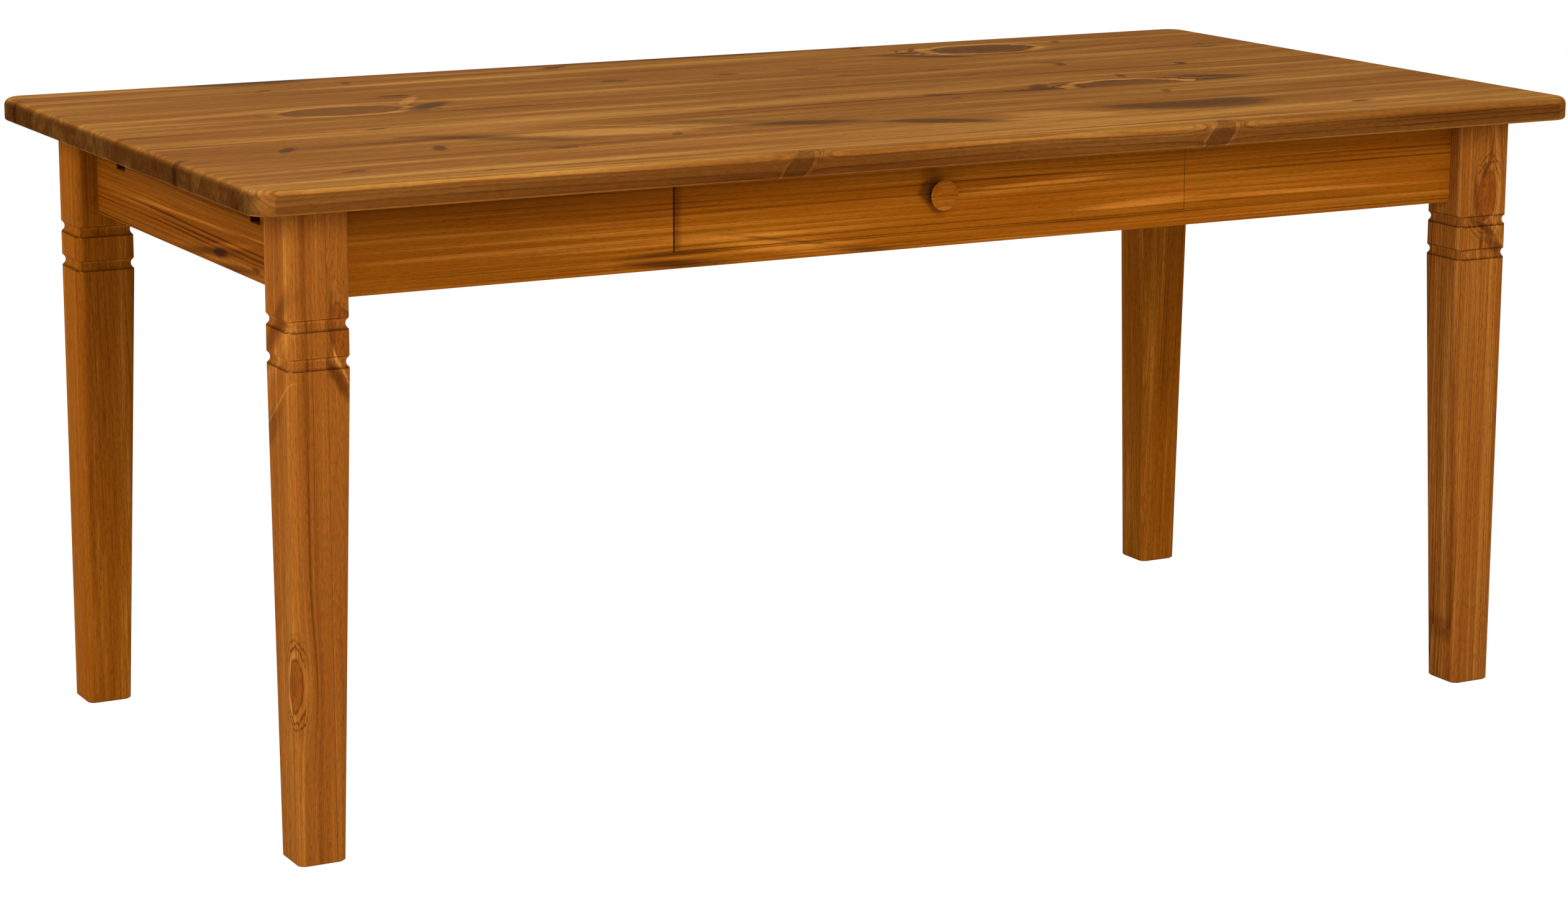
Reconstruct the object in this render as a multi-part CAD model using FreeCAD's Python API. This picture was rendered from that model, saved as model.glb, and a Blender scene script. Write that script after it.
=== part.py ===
import FreeCAD, Part
import math
import os

from FreeCAD import Vector

# Dining table of solid pine with one drawer. Millimetres, +Z up, X along the length, -Y the drawer side.
# The origin is on the floor, under the middle of the table.

# Overall sizes
table_length = 1750.0
table_width = 890.0
table_height = 760.0
overhang = 55.0  # of the top past the legs, on every side

# Top, glued edge to edge from staves that run along the table
top_thickness = 28.0
top_corner_radius = 28.0
top_upper_round = 9.0
top_lower_round = 4.0
stave_width = 161.0
back_stave_width = 52.0
least_stave_width = 25.0

# Legs: square above, with two coves on every face, the two inner faces tapered below them
leg_size = 73.0
leg_foot_size = 57.0
leg_round = 9.0
foot_ease = 1.5
cove_width = 16.0
cove_depth = 5.0
cove_lip = 1.6
cove_lip_bulge = 0.3
upper_cove_drop = 23.0  # from the aprons' lower edge to the cove's middle
cove_pitch = 42.0
taper_drop = 12.0  # from the lower cove's middle to where the taper starts
leg_bolt_flat = 12.0  # set-back of the flat on the inner arris, where the bolts go in
leg_bolt_flat_drop = 14.0  # of that flat below the aprons' lower edge, at its lower end

# Aprons
apron_height = 107.0
apron_thickness = 21.0
apron_recess = 27.0  # behind the legs' outer faces
apron_round = 2.0

# Drawer front and the cut-out that it fills in the front apron
drawer_front_width = 690.0
drawer_left_gap = 1.6
drawer_right_gap = 0.4
drawer_bottom_gap = 0.4
drawer_top_gap = 2.5
strip_height = 19.0  # of the apron that is left under the drawer
drawer_front_round = 0.4

# Slots for the support rails of an extension leaf, in the end aprons and the cross rails
leaf_rail_width = 28.0
leaf_rail_height = 40.0
leaf_rail_gap = 1.0
leaf_rail_spacing = 454.0

# Cross rails and the flat rail over the drawer
cross_rail_thickness = 24.0
cross_rail_height = 80.0
cross_rail_distance = 252.0  # from the end apron's inner face to the rail's middle
top_rail_width = 50.0
top_rail_thickness = 18.0

# Drawer box
drawer_travel = 300.0
side_thickness = 12.0
side_inset = 13.0  # of the sides from the ends of the drawer front
side_lift = 1.8  # of the sides' lower edges above the drawer front's lower edge
side_top_gap = 3.0
back_thickness = 12.0
back_top_drop = 3.0
bottom_thickness = 4.0
bottom_lift = 8.0
bottom_gap = 0.15
bottom_groove_depth = 5.5
bottom_edge_gap = 0.5

# Stops
out_stop_width = 60.0
out_stop_thickness = 7.5
out_stop_rise = 8.0  # above the top rail's lower face
out_stop_overlap = 26.0
stop_gap = 0.5
shut_stop_length = 16.0
shut_stop_height = 14.0

# Runners and guides
runner_width = 35.0
runner_thickness = 18.0
guide_thickness = 20.0
guide_height = 36.0
guide_gap = 1.0
slide_gap = 0.3

# Turned knob
knob_diameter = 36.0
knob_projection = 19.0
knob_base_diameter = 24.0
knob_neck_diameter = 20.0
knob_neck_flare = 3.0  # of the neck's diameter, where it meets the head
knob_base_height = 1.5
knob_neck_height = 6.0
knob_rim_height = 14.0
knob_rim_round = 4.0

# Corner blocks, and the hanger bolts that pull the legs tight
block_height = 88.0
block_thickness = 26.0
block_leg_gap = 5.0
bolt_diameter = 8.0
bolt_in_leg = 45.0
bolt_tail = 4.0
bolt_point = 6.0
bolt_spacing = 44.0
washer_diameter = 18.0
washer_thickness = 1.6
nut_width = 13.0
nut_height = 6.5
thread_gap = 0.1
bolt_hole_gap = 0.5
block_screw_length = 32.0
block_screw_spacing = 50.0
block_screw_sink = 3.0

# Wood screws and dowels
screw_diameter = 4.0
screw_head_diameter = 8.0
screw_head_height = 2.4
screw_point = 4.0
screw_slot_width = 1.0
screw_slot_depth = 1.0
screw_gap = 0.1
dowel_diameter = 8.0
dowel_length = 34.0
dowel_ease = 0.8
dowel_end_gap = 1.0
dowel_gap = 0.1
rail_dowel_length = 30.0
rail_dowel_in_apron = 13.0
box_dowel_diameter = 6.0
box_dowel_length = 24.0
box_dowel_in_side = 8.0

# Angle brackets under the top
bracket_arm = 25.0
bracket_width = 20.0
bracket_thickness = 2.0
bracket_hole = 15.0  # from the bend to the holes
bracket_screw_length = 16.0
end_bracket_spacing = 200.0
cross_bracket_spacing = 220.0
back_bracket_spacing = 300.0
top_rail_screw_length = 38.0
top_rail_screw_inset = 73.0  # from the rail's ends to the outer screws; two more divide the rest in three

# Knob screw and nails
knob_screw_diameter = 4.0
knob_screw_in_knob = 13.0
knob_screw_head_diameter = 8.0
knob_screw_head_height = 3.0
knob_washer_diameter = 12.0
knob_washer_thickness = 1.0
nail_diameter = 1.6
nail_head_diameter = 4.0
nail_head_height = 0.8
nail_length = 18.0
nail_spacing = 200.0

# Places that follow from the sizes
top_under = table_height - top_thickness
leg_out_x = table_length / 2 - overhang
leg_out_y = table_width / 2 - overhang
leg_in_x = leg_out_x - leg_size
leg_in_y = leg_out_y - leg_size
apron_out_x = leg_out_x - apron_recess
apron_out_y = leg_out_y - apron_recess
apron_in_x = apron_out_x - apron_thickness
apron_in_y = apron_out_y - apron_thickness
apron_mid_x = apron_in_x + apron_thickness / 2
apron_mid_y = apron_in_y + apron_thickness / 2
apron_low = top_under - apron_height
upper_cove_z = apron_low - upper_cove_drop
lower_cove_z = upper_cove_z - cove_pitch
taper_z = lower_cove_z - taper_drop

front_half = drawer_front_width / 2
opening_low = apron_low + strip_height
front_low = opening_low + drawer_bottom_gap
front_high = top_under - drawer_top_gap

slot_width = leaf_rail_width + 2 * leaf_rail_gap
slot_low = top_under - leaf_rail_height - 2 * leaf_rail_gap
slot_y = leaf_rail_spacing / 2
rail_x = apron_in_x - cross_rail_distance
rail_low = top_under - cross_rail_height
top_rail_low = top_under - top_rail_thickness
top_rail_back = -apron_in_y + top_rail_width

side_out = front_half - side_inset
side_in = side_out - side_thickness
side_low = front_low + side_lift
side_high = top_rail_low - side_top_gap
out_stop_front = top_rail_back + drawer_travel + stop_gap
back_in = out_stop_front + out_stop_thickness
back_out = back_in + back_thickness
bottom_low = side_low + bottom_lift
bottom_high = bottom_low + bottom_thickness
back_low = bottom_high + bottom_gap
back_high = side_high - back_top_drop
runner_high = side_low - slide_gap
runner_low = runner_high - runner_thickness
guide_in = side_out + guide_gap
guide_out = guide_in + guide_thickness
runner_in = guide_out - runner_width
knob_z = (front_low + front_high) / 2

# Distances from the inner corner of two aprons along its diagonal, towards the middle of the table
leg_inset = leg_size - apron_recess - apron_thickness
flat_reach = (2 * leg_inset - leg_bolt_flat) / math.sqrt(2)
block_near = flat_reach + block_leg_gap
block_far = block_near + block_thickness
block_low = top_under - block_height
block_mid_z = top_under - block_height / 2
block_screw_along = (block_near + block_far) / math.sqrt(2)
block_screw_seat = block_far * math.sqrt(2) - block_screw_along - block_screw_sink

nodes = {}
cutters = {}


def add(name, *solids):
    nodes.setdefault(name, []).extend(solids)


def bore(name, *tools):
    cutters.setdefault(name, []).extend(tools)


def block(x0, x1, y0, y1, z0, z1):
    return Part.makeBox(x1 - x0, y1 - y0, z1 - z0, Vector(x0, y0, z0))


def edges_along(shape, direction, *tests):
    # straight edges along a direction whose middle passes every test
    found = []
    for edge in shape.Edges:
        ends = edge.Vertexes
        if len(ends) != 2:
            continue
        span = ends[1].Point - ends[0].Point
        if span.Length > 0 and span.cross(direction).Length < 1e-6 * span.Length:
            middle = (ends[0].Point + ends[1].Point) * 0.5
            if all(test(middle) for test in tests):
                found.append(edge)
    return found


def pin(start, direction, length, diameter, ease=0.0):
    # a cylinder, with both ends eased
    rod = Part.makeCylinder(diameter / 2, length, start, direction)
    if ease:
        rod = rod.makeChamfer(ease, [e for e in rod.Edges if e.Closed])
    return rod


def hole(start, direction, length, diameter):
    return Part.makeCylinder(diameter / 2, length, start, direction)


def corner_name(stem, side_x, side_y):
    depth = "front" if side_y < 0 else "back"
    hand = "left" if side_x < 0 else "right"
    return f"{stem}_{depth}_{hand}"


def hand_name(stem, side_x):
    return stem + ("_left" if side_x < 0 else "_right")


def place(shape, side_x, side_y):
    # from the corner at +X +Y to another corner
    if side_x < 0:
        shape = shape.mirror(Vector(0, 0, 0), Vector(1, 0, 0))
    if side_y < 0:
        shape = shape.mirror(Vector(0, 0, 0), Vector(0, 1, 0))
    return shape


corners = [(side_x, side_y) for side_x in (-1, 1) for side_y in (-1, 1)]


# Top
def top_panel():
    x, y = table_length / 2, table_width / 2
    panel = block(-x, x, -y, y, top_under, table_height)
    panel = panel.makeFillet(top_corner_radius, edges_along(panel, Vector(0, 0, 1)))
    upper = [e for e in panel.Edges if abs(e.BoundBox.ZMin - table_height) < 1e-6]
    panel = panel.makeFillet(top_upper_round, upper)
    lower = [e for e in panel.Edges if abs(e.BoundBox.ZMax - top_under) < 1e-6]
    return panel.makeFillet(top_lower_round, lower)


def stave_edges():
    # from the back edge to the front one
    edges = [table_width / 2, table_width / 2 - back_stave_width]
    while edges[-1] - stave_width > -table_width / 2 + least_stave_width:
        edges.append(edges[-1] - stave_width)
    return edges + [-table_width / 2]


def add_top():
    panel = top_panel()
    edges = stave_edges()
    for number, (back, front) in enumerate(zip(edges, edges[1:]), 1):
        slab = block(-table_length, table_length, front, back, 0, table_height + top_thickness)
        add(f"top_stave_{number}", panel.common(slab))


def bore_top(tool):
    edges = stave_edges()
    for number, (back, front) in enumerate(zip(edges, edges[1:]), 1):
        box = tool.BoundBox
        if box.YMin < back and box.YMax > front:
            bore(f"top_stave_{number}", tool)


# Legs
def rounded_square(size, z, inset=0.0):
    # measured from the leg's outer corner, so that the outer faces stay upright
    x0 = leg_out_x - size + inset
    x1 = leg_out_x - inset
    y0 = leg_out_y - size + inset
    y1 = leg_out_y - inset
    r = leg_round
    bend = r * (1 - math.sqrt(0.5))
    starts = [Vector(x0 + r, y0, z), Vector(x1, y0 + r, z), Vector(x1 - r, y1, z), Vector(x0, y1 - r, z)]
    ends = [Vector(x1 - r, y0, z), Vector(x1, y1 - r, z), Vector(x0 + r, y1, z), Vector(x0, y0 + r, z)]
    bends = [Vector(x1 - bend, y0 + bend, z), Vector(x1 - bend, y1 - bend, z)]
    bends += [Vector(x0 + bend, y1 - bend, z), Vector(x0 + bend, y0 + bend, z)]
    edges = []
    for i in range(4):
        edges.append(Part.makeLine(starts[i], ends[i]))
        edges.append(Part.Arc(ends[i], bends[i], starts[(i + 1) % 4]).toShape())
    return Part.Wire(edges)


def cove_cutter(z):
    # for the face at x = 0 that looks along +X: a cove with softly rounded lips
    half = cove_width / 2
    shoulder = half - cove_lip
    reach = leg_size
    bend = cove_lip / 2 - cove_lip_bulge * math.sqrt(0.5)
    bend_w = half - cove_lip + bend

    def at(u, w):
        return Vector(u, -reach, z + w)

    edges = [
        Part.Arc(at(0, half), at(-bend, bend_w), at(-cove_lip, shoulder)).toShape(),
        Part.Arc(at(-cove_lip, shoulder), at(-cove_depth, 0), at(-cove_lip, -shoulder)).toShape(),
        Part.Arc(at(-cove_lip, -shoulder), at(-bend, -bend_w), at(0, -half)).toShape(),
        Part.makeLine(at(0, -half), at(leg_round, -half)),
        Part.makeLine(at(leg_round, -half), at(leg_round, half)),
        Part.makeLine(at(leg_round, half), at(0, half)),
    ]
    return Part.Face(Part.Wire(edges)).extrude(Vector(0, 2 * reach, 0))


def leg():
    levels = [
        rounded_square(leg_foot_size, 0.0, foot_ease),
        rounded_square(leg_foot_size, foot_ease),
        rounded_square(leg_size, taper_z),
        rounded_square(leg_size, top_under),
    ]
    solid = Part.makeLoft(levels, True, True)
    middle = Vector(leg_out_x - leg_size / 2, leg_out_y - leg_size / 2, 0)
    for z in (upper_cove_z, lower_cove_z):
        for turn in range(4):
            tool = cove_cutter(z)
            tool.translate(Vector(leg_size / 2, 0, 0))
            tool.rotate(Vector(0, 0, 0), Vector(0, 0, 1), 90 * turn)
            tool.translate(middle)
            solid = solid.cut(tool)
    # the flat on the inner arris, for the bolts
    low = apron_low - leg_bolt_flat_drop + leg_bolt_flat
    rim = [Vector(leg_in_x - 1, leg_in_y - 1, low)]
    rim.append(Vector(leg_in_x + leg_bolt_flat + 1, leg_in_y - 1, low))
    rim.append(Vector(leg_in_x - 1, leg_in_y + leg_bolt_flat + 1, low))
    wedge = Part.Face(Part.makePolygon(rim + rim[:1])).extrude(Vector(0, 0, top_under))
    return solid.cut(wedge)


def add_legs():
    shape = leg()
    for side_x, side_y in corners:
        add(corner_name("leg", side_x, side_y), place(shape, side_x, side_y))


# Aprons
def slots(x0, x1):
    half = slot_width / 2
    return [block(x0, x1, y - half, y + half, slot_low, top_under + 1) for y in (-slot_y, slot_y)]


def round_below(apron, along):
    lower = edges_along(apron, along, lambda p: p.z < top_under - 1)
    return apron.makeFillet(apron_round, lower)


def add_aprons():
    long_side = block(-leg_in_x, leg_in_x, apron_in_y, apron_out_y, apron_low, top_under)
    long_side = round_below(long_side, Vector(1, 0, 0))
    left, right = -front_half - drawer_left_gap, front_half + drawer_right_gap
    cut_out = block(left, right, -table_width, 0, opening_low, table_height)
    add("apron_back", long_side)
    add("apron_front", place(long_side, 1, -1).cut(cut_out))
    end = block(apron_in_x, apron_out_x, -leg_in_y, leg_in_y, apron_low, top_under)
    end = round_below(end, Vector(0, 1, 0))
    for tool in slots(apron_in_x - 1, apron_out_x + 1):
        end = end.cut(tool)
    for side_x in (-1, 1):
        add(hand_name("apron_end", side_x), place(end, side_x, 1))


def add_apron_dowels():
    wide = dowel_diameter + 2 * dowel_gap
    deep = dowel_length + 2 * dowel_end_gap
    joints = []
    for z in (apron_low + apron_height / 4, top_under - apron_height / 4):
        joints.append((Vector(leg_in_x, apron_mid_y, z), Vector(1, 0, 0)))
        joints.append((Vector(apron_mid_x, leg_in_y, z), Vector(0, 1, 0)))
    for side_x, side_y in corners:
        for middle, out in joints:
            start = middle - out * (dowel_length / 2)
            dowel = pin(start, out, dowel_length, dowel_diameter, dowel_ease)
            add("apron_dowels", place(dowel, side_x, side_y))
            tool = place(hole(start - out * dowel_end_gap, out, deep, wide), side_x, side_y)
            long_apron = "apron_front" if side_y < 0 else "apron_back"
            bore(long_apron if out.x else hand_name("apron_end", side_x), tool)
            bore(corner_name("leg", side_x, side_y), tool)


# Screws and brackets
def screw(seat, direction, length):
    # pan head with a crossed slot; the head's underside is on the seat, the shank runs along the direction
    shank = length - screw_point
    r = screw_diameter / 2
    body = Part.makeCylinder(r, shank, seat, direction)
    body = body.fuse(Part.makeCone(r, r / 8, screw_point, seat + direction * shank, direction))
    head = Part.makeCylinder(screw_head_diameter / 2, screw_head_height, seat, direction * -1)
    rim = [e for e in head.Edges if e.Closed and (e.CenterOfMass - seat).Length > screw_head_height / 2]
    head = head.makeFillet(screw_head_height / 2, rim)
    slot_centre = seat - direction * screw_head_height
    side = direction.cross(Vector(0, 0, 1) if abs(direction.z) < 0.5 else Vector(1, 0, 0))
    for axis in (side, direction.cross(side)):
        half = axis * (screw_head_diameter / 3)
        wide = direction.cross(axis) * (screw_slot_width / 2)
        outline = [half * -1 - wide, half - wide, half + wide, wide - half, half * -1 - wide]
        face = Part.Face(Part.makePolygon([slot_centre + corner for corner in outline]))
        head = head.cut(face.extrude(direction * screw_slot_depth))
    return body.fuse(head).removeSplitter()


def screw_hole(seat, direction, length):
    return hole(seat - direction, direction, length + 1 + screw_gap, screw_diameter + 2 * screw_gap)


def bracket(corner, inward, along):
    # an angle bracket in the corner under the top: one arm on the rail's face, one under the top
    arm = bracket_arm
    down = Vector(0, 0, -1)
    t = bracket_thickness
    start = corner - along * (bracket_width / 2)
    outline = [(0, 0), (arm, 0), (arm, t), (t, t), (t, arm), (0, arm), (0, 0)]
    rim = Part.makePolygon([start + inward * u + down * w for u, w in outline])
    plate = Part.Face(rim).extrude(along * bracket_width)
    up_seat = corner + inward * bracket_hole + down * t
    side_seat = corner + down * bracket_hole + inward * t
    for seat, direction in ((up_seat, Vector(0, 0, 1)), (side_seat, inward * -1)):
        plate = plate.cut(hole(seat - direction, direction, t + 2, screw_diameter + 4 * screw_gap))
    return plate, up_seat, side_seat


def add_bracket(rail_node, corner, inward, along):
    plate, up_seat, side_seat = bracket(corner, inward, along)
    add("angle_brackets", plate)
    add("bracket_screws", screw(up_seat, Vector(0, 0, 1), bracket_screw_length))
    add("bracket_screws", screw(side_seat, inward * -1, bracket_screw_length))
    bore_top(screw_hole(up_seat, Vector(0, 0, 1), bracket_screw_length))
    bore(rail_node, screw_hole(side_seat, inward * -1, bracket_screw_length))


def add_brackets():
    for side_x in (-1, 1):
        inward = Vector(-side_x, 0, 0)
        for side_y in (-1, 1):
            corner = Vector(side_x * apron_in_x, side_y * end_bracket_spacing / 2, top_under)
            add_bracket(hand_name("apron_end", side_x), corner, inward, Vector(0, 1, 0))
            x = side_x * (rail_x - cross_rail_thickness / 2)
            corner = Vector(x, side_y * cross_bracket_spacing / 2, top_under)
            add_bracket(hand_name("cross_rail", side_x), corner, inward, Vector(0, 1, 0))
    for x in (-back_bracket_spacing, 0, back_bracket_spacing):
        add_bracket("apron_back", Vector(x, apron_in_y, top_under), Vector(0, -1, 0), Vector(1, 0, 0))


# Corner blocks and hanger bolts
outward = Vector(math.sqrt(0.5), math.sqrt(0.5), 0)
inner_corner = Vector(apron_in_x, apron_in_y, 0)


def on_diagonal(reach, z):
    return inner_corner - outward * reach + Vector(0, 0, z)


def corner_block():
    near = block_near * math.sqrt(2)
    far = block_far * math.sqrt(2)
    outline = [(near, 0), (far, 0), (0, far), (0, near)]
    points = [Vector(apron_in_x - x, apron_in_y - y, block_low) for x, y in outline]
    return Part.Face(Part.makePolygon(points + points[:1])).extrude(Vector(0, 0, block_height))


def hex_nut(start, direction):
    across = nut_width / math.sqrt(3)
    side = Vector(0, 0, 1)
    other = direction.cross(side)
    points = []
    for i in range(6):
        turn = math.radians(60 * i)
        points.append(start + side * (across * math.sin(turn)) + other * (across * math.cos(turn)))
    nut = Part.Face(Part.makePolygon(points + points[:1])).extrude(direction * nut_height)
    cone = Part.makeCone(nut_width / 2 + nut_height, nut_width / 2, nut_height, start, direction)
    nut = nut.common(cone)
    return nut.cut(hole(start - direction, direction, nut_height + 2, bolt_diameter + 2 * thread_gap))


def hanger_bolt(z):
    reach = block_far + washer_thickness + nut_height + bolt_tail
    start = on_diagonal(reach, z)
    shank = reach - flat_reach + bolt_in_leg - bolt_point
    r = bolt_diameter / 2
    rod = Part.makeCylinder(r, shank, start, outward)
    tail = [e for e in rod.Edges if e.Closed and (e.CenterOfMass - start).Length < 1]
    rod = rod.makeChamfer(r / 4, tail)
    return rod.fuse(Part.makeCone(r, r / 4, bolt_point, start + outward * shank, outward))


def add_corner_blocks():
    shape = corner_block()
    for side_x, side_y in corners:
        add(corner_name("corner_block", side_x, side_y), place(shape, side_x, side_y))
        for z in (block_mid_z - bolt_spacing / 2, block_mid_z + bolt_spacing / 2):
            add_hanger_bolt(side_x, side_y, z)
        for z in (block_mid_z - block_screw_spacing / 2, block_mid_z + block_screw_spacing / 2):
            add_block_screws(side_x, side_y, z)


def add_hanger_bolt(side_x, side_y, z):
    inward = outward * -1
    loose = bolt_diameter + 2 * bolt_hole_gap
    tight = bolt_diameter + 2 * thread_gap
    block_face = on_diagonal(block_far, z)
    washer = Part.makeCylinder(washer_diameter / 2, washer_thickness, block_face, inward)
    washer = washer.cut(hole(block_face + outward, inward, washer_thickness + 2, loose))
    nut = hex_nut(on_diagonal(block_far + washer_thickness, z), inward)
    add("hanger_bolts", place(hanger_bolt(z), side_x, side_y))
    add("bolt_washers", place(washer, side_x, side_y))
    add("bolt_nuts", place(nut, side_x, side_y))
    through = hole(on_diagonal(block_far + 1, z), outward, block_thickness + 2, loose)
    bore(corner_name("corner_block", side_x, side_y), place(through, side_x, side_y))
    blind = hole(on_diagonal(flat_reach + 1, z), outward, bolt_in_leg + 1 + dowel_end_gap, tight)
    bore(corner_name("leg", side_x, side_y), place(blind, side_x, side_y))


def add_block_screws(side_x, side_y, z):
    seats = [
        (Vector(apron_in_x - block_screw_seat, apron_in_y - block_screw_along, z), Vector(1, 0, 0)),
        (Vector(apron_in_x - block_screw_along, apron_in_y - block_screw_seat, z), Vector(0, 1, 0)),
    ]
    ends = [hand_name("apron_end", side_x), "apron_front" if side_y < 0 else "apron_back"]
    for (seat, direction), apron in zip(seats, ends):
        add("block_screws", place(screw(seat, direction, block_screw_length), side_x, side_y))
        pilot = screw_hole(seat, direction, block_screw_length)
        sink = hole(seat, direction * -1, block_thickness, screw_head_diameter + 6 * screw_gap)
        bore(apron, place(pilot, side_x, side_y))
        for tool in (pilot, sink):
            bore(corner_name("corner_block", side_x, side_y), place(tool, side_x, side_y))


# Cross rails, the flat rail over the drawer, runners and guides
def add_rail_dowel(end_face, direction, rail_node, apron_node):
    # from the apron, across the joint, into the rail
    start = end_face + direction * rail_dowel_in_apron
    add("rail_dowels", pin(start, direction * -1, rail_dowel_length, dowel_diameter, dowel_ease))
    length = rail_dowel_length + 2 * dowel_end_gap
    tool = hole(start + direction * dowel_end_gap, direction * -1, length, dowel_diameter + 2 * dowel_gap)
    bore(rail_node, tool)
    bore(apron_node, tool)


def add_cross_rails():
    half = cross_rail_thickness / 2
    rail = block(rail_x - half, rail_x + half, -apron_in_y, apron_in_y, rail_low, top_under)
    for tool in slots(rail_x - half - 1, rail_x + half + 1):
        rail = rail.cut(tool)
    for side_x in (-1, 1):
        name = hand_name("cross_rail", side_x)
        add(name, place(rail, side_x, 1))
        for z in (rail_low + cross_rail_height / 4, top_under - cross_rail_height / 4):
            for side_y, apron in ((-1, "apron_front"), (1, "apron_back")):
                face = Vector(side_x * rail_x, side_y * apron_in_y, z)
                add_rail_dowel(face, Vector(0, side_y, 0), name, apron)


def add_top_rail():
    reach = rail_x - cross_rail_thickness / 2
    add("top_rail", block(-reach, reach, -apron_in_y, top_rail_back, top_rail_low, top_under))
    outer = reach - top_rail_screw_inset
    for x in (-outer, -outer / 3, outer / 3, outer):
        seat = Vector(x, -apron_in_y + top_rail_width / 2, top_rail_low + screw_head_height + screw_gap)
        up = Vector(0, 0, 1)
        add("top_rail_screws", screw(seat, up, top_rail_screw_length))
        pilot = screw_hole(seat, up, top_rail_screw_length)
        sink = hole(seat, up * -1, screw_head_height + 1, screw_head_diameter + 6 * screw_gap)
        bore_top(pilot)
        bore("top_rail", pilot, sink)


def add_runners():
    guide_high = runner_high + guide_height
    stop_high = runner_high + shut_stop_height
    shut = back_out + stop_gap
    for side_x in (-1, 1):
        runner = block(runner_in, guide_out, -apron_in_y, apron_in_y, runner_low, runner_high)
        guide = block(guide_in, guide_out, -apron_in_y, apron_in_y, runner_high, guide_high)
        stop = block(runner_in, guide_in, shut, shut + shut_stop_length, runner_high, stop_high)
        name = hand_name("drawer_runner", side_x)
        add(name, place(runner, side_x, 1))
        add(hand_name("drawer_guide", side_x), place(guide, side_x, 1))
        add(hand_name("shut_stop", side_x), place(stop, side_x, 1))
        x = side_x * (runner_in + guide_out) / 2
        z = (max(runner_low, apron_low + apron_round) + min(runner_high, opening_low)) / 2
        for side_y, apron in ((-1, "apron_front"), (1, "apron_back")):
            add_rail_dowel(Vector(x, side_y * apron_in_y, z), Vector(0, side_y, 0), name, apron)


# Drawer
def drawer_front():
    front = block(-front_half, front_half, -apron_out_y, -apron_in_y, front_low, front_high)
    face = [e for e in front.Edges if abs(e.BoundBox.YMax + apron_out_y) < 1e-6]
    front = front.makeFillet(drawer_front_round, face)
    groove_half = side_in + bottom_groove_depth
    low = bottom_low - bottom_gap
    high = bottom_high + bottom_gap
    groove = block(-groove_half, groove_half, -apron_in_y - bottom_groove_depth, 0, low, high)
    return front.cut(groove)


def drawer_side():
    side = block(side_in, side_out, -apron_in_y, back_out, side_low, side_high)
    deep = side_in + bottom_groove_depth
    low = bottom_low - bottom_gap
    high = bottom_high + bottom_gap
    return side.cut(block(side_in - 1, deep, -apron_in_y - 1, back_out + 1, low, high))


def add_box_dowels(side_x):
    grip = box_dowel_length - box_dowel_in_side
    wide = box_dowel_diameter + 2 * dowel_gap
    deep = box_dowel_length + 2 * dowel_end_gap
    side_node = hand_name("drawer_side", side_x)
    third = (back_high - back_low) / 3
    for z in (back_low + third, back_high - third):
        # front to side
        start = Vector(side_x * (side_in + side_thickness / 2), -apron_in_y - box_dowel_in_side, z)
        back = Vector(0, 1, 0)
        add("drawer_dowels", pin(start, back, box_dowel_length, box_dowel_diameter, dowel_ease))
        tool = hole(start - back * dowel_end_gap, back, deep, wide)
        bore("drawer_front", tool)
        bore(side_node, tool)
        # side to back
        start = Vector(side_x * (side_in - grip), (back_in + back_out) / 2, z)
        out = Vector(side_x, 0, 0)
        add("drawer_dowels", pin(start, out, box_dowel_length, box_dowel_diameter, dowel_ease))
        tool = hole(start - out * dowel_end_gap, out, deep, wide)
        bore("drawer_back", tool)
        bore(side_node, tool)


def add_drawer():
    add("drawer_front", drawer_front())
    side = drawer_side()
    for side_x in (-1, 1):
        add(hand_name("drawer_side", side_x), place(side, side_x, 1))
        add_box_dowels(side_x)
    add("drawer_back", block(-side_in, side_in, back_in, back_out, back_low, back_high))
    reach = side_in + bottom_groove_depth - bottom_edge_gap
    front = -apron_in_y - bottom_groove_depth + bottom_edge_gap
    add("drawer_bottom", block(-reach, reach, front, back_out, bottom_low, bottom_high))
    for x in (-nail_spacing, 0, nail_spacing):
        add_nail(Vector(x, (back_in + back_out) / 2, bottom_low))
    add_out_stop()


def add_nail(under):
    up = Vector(0, 0, 1)
    head = Part.makeCylinder(nail_head_diameter / 2, nail_head_height, under, up * -1)
    shank = Part.makeCylinder(nail_diameter / 2, nail_length, under, up)
    add("bottom_nails", head.fuse(shank))
    tool = hole(under - up, up, nail_length + 1 + screw_gap, nail_diameter + 2 * screw_gap)
    bore("drawer_bottom", tool)
    bore("drawer_back", tool)


def add_out_stop():
    # a block on the drawer's back that meets the flat rail when the drawer is out
    half = out_stop_width / 2
    low = back_high - out_stop_overlap
    high = top_rail_low + out_stop_rise
    add("out_stop", block(-half, half, out_stop_front, back_in, low, high))
    back = Vector(0, 1, 0)
    for x in (-half / 2, half / 2):
        seat = Vector(x, out_stop_front, (low + back_high) / 2)
        add("out_stop_screws", screw(seat, back, bracket_screw_length))
        tool = screw_hole(seat, back, bracket_screw_length)
        bore("out_stop", tool)
        bore("drawer_back", tool)


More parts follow.
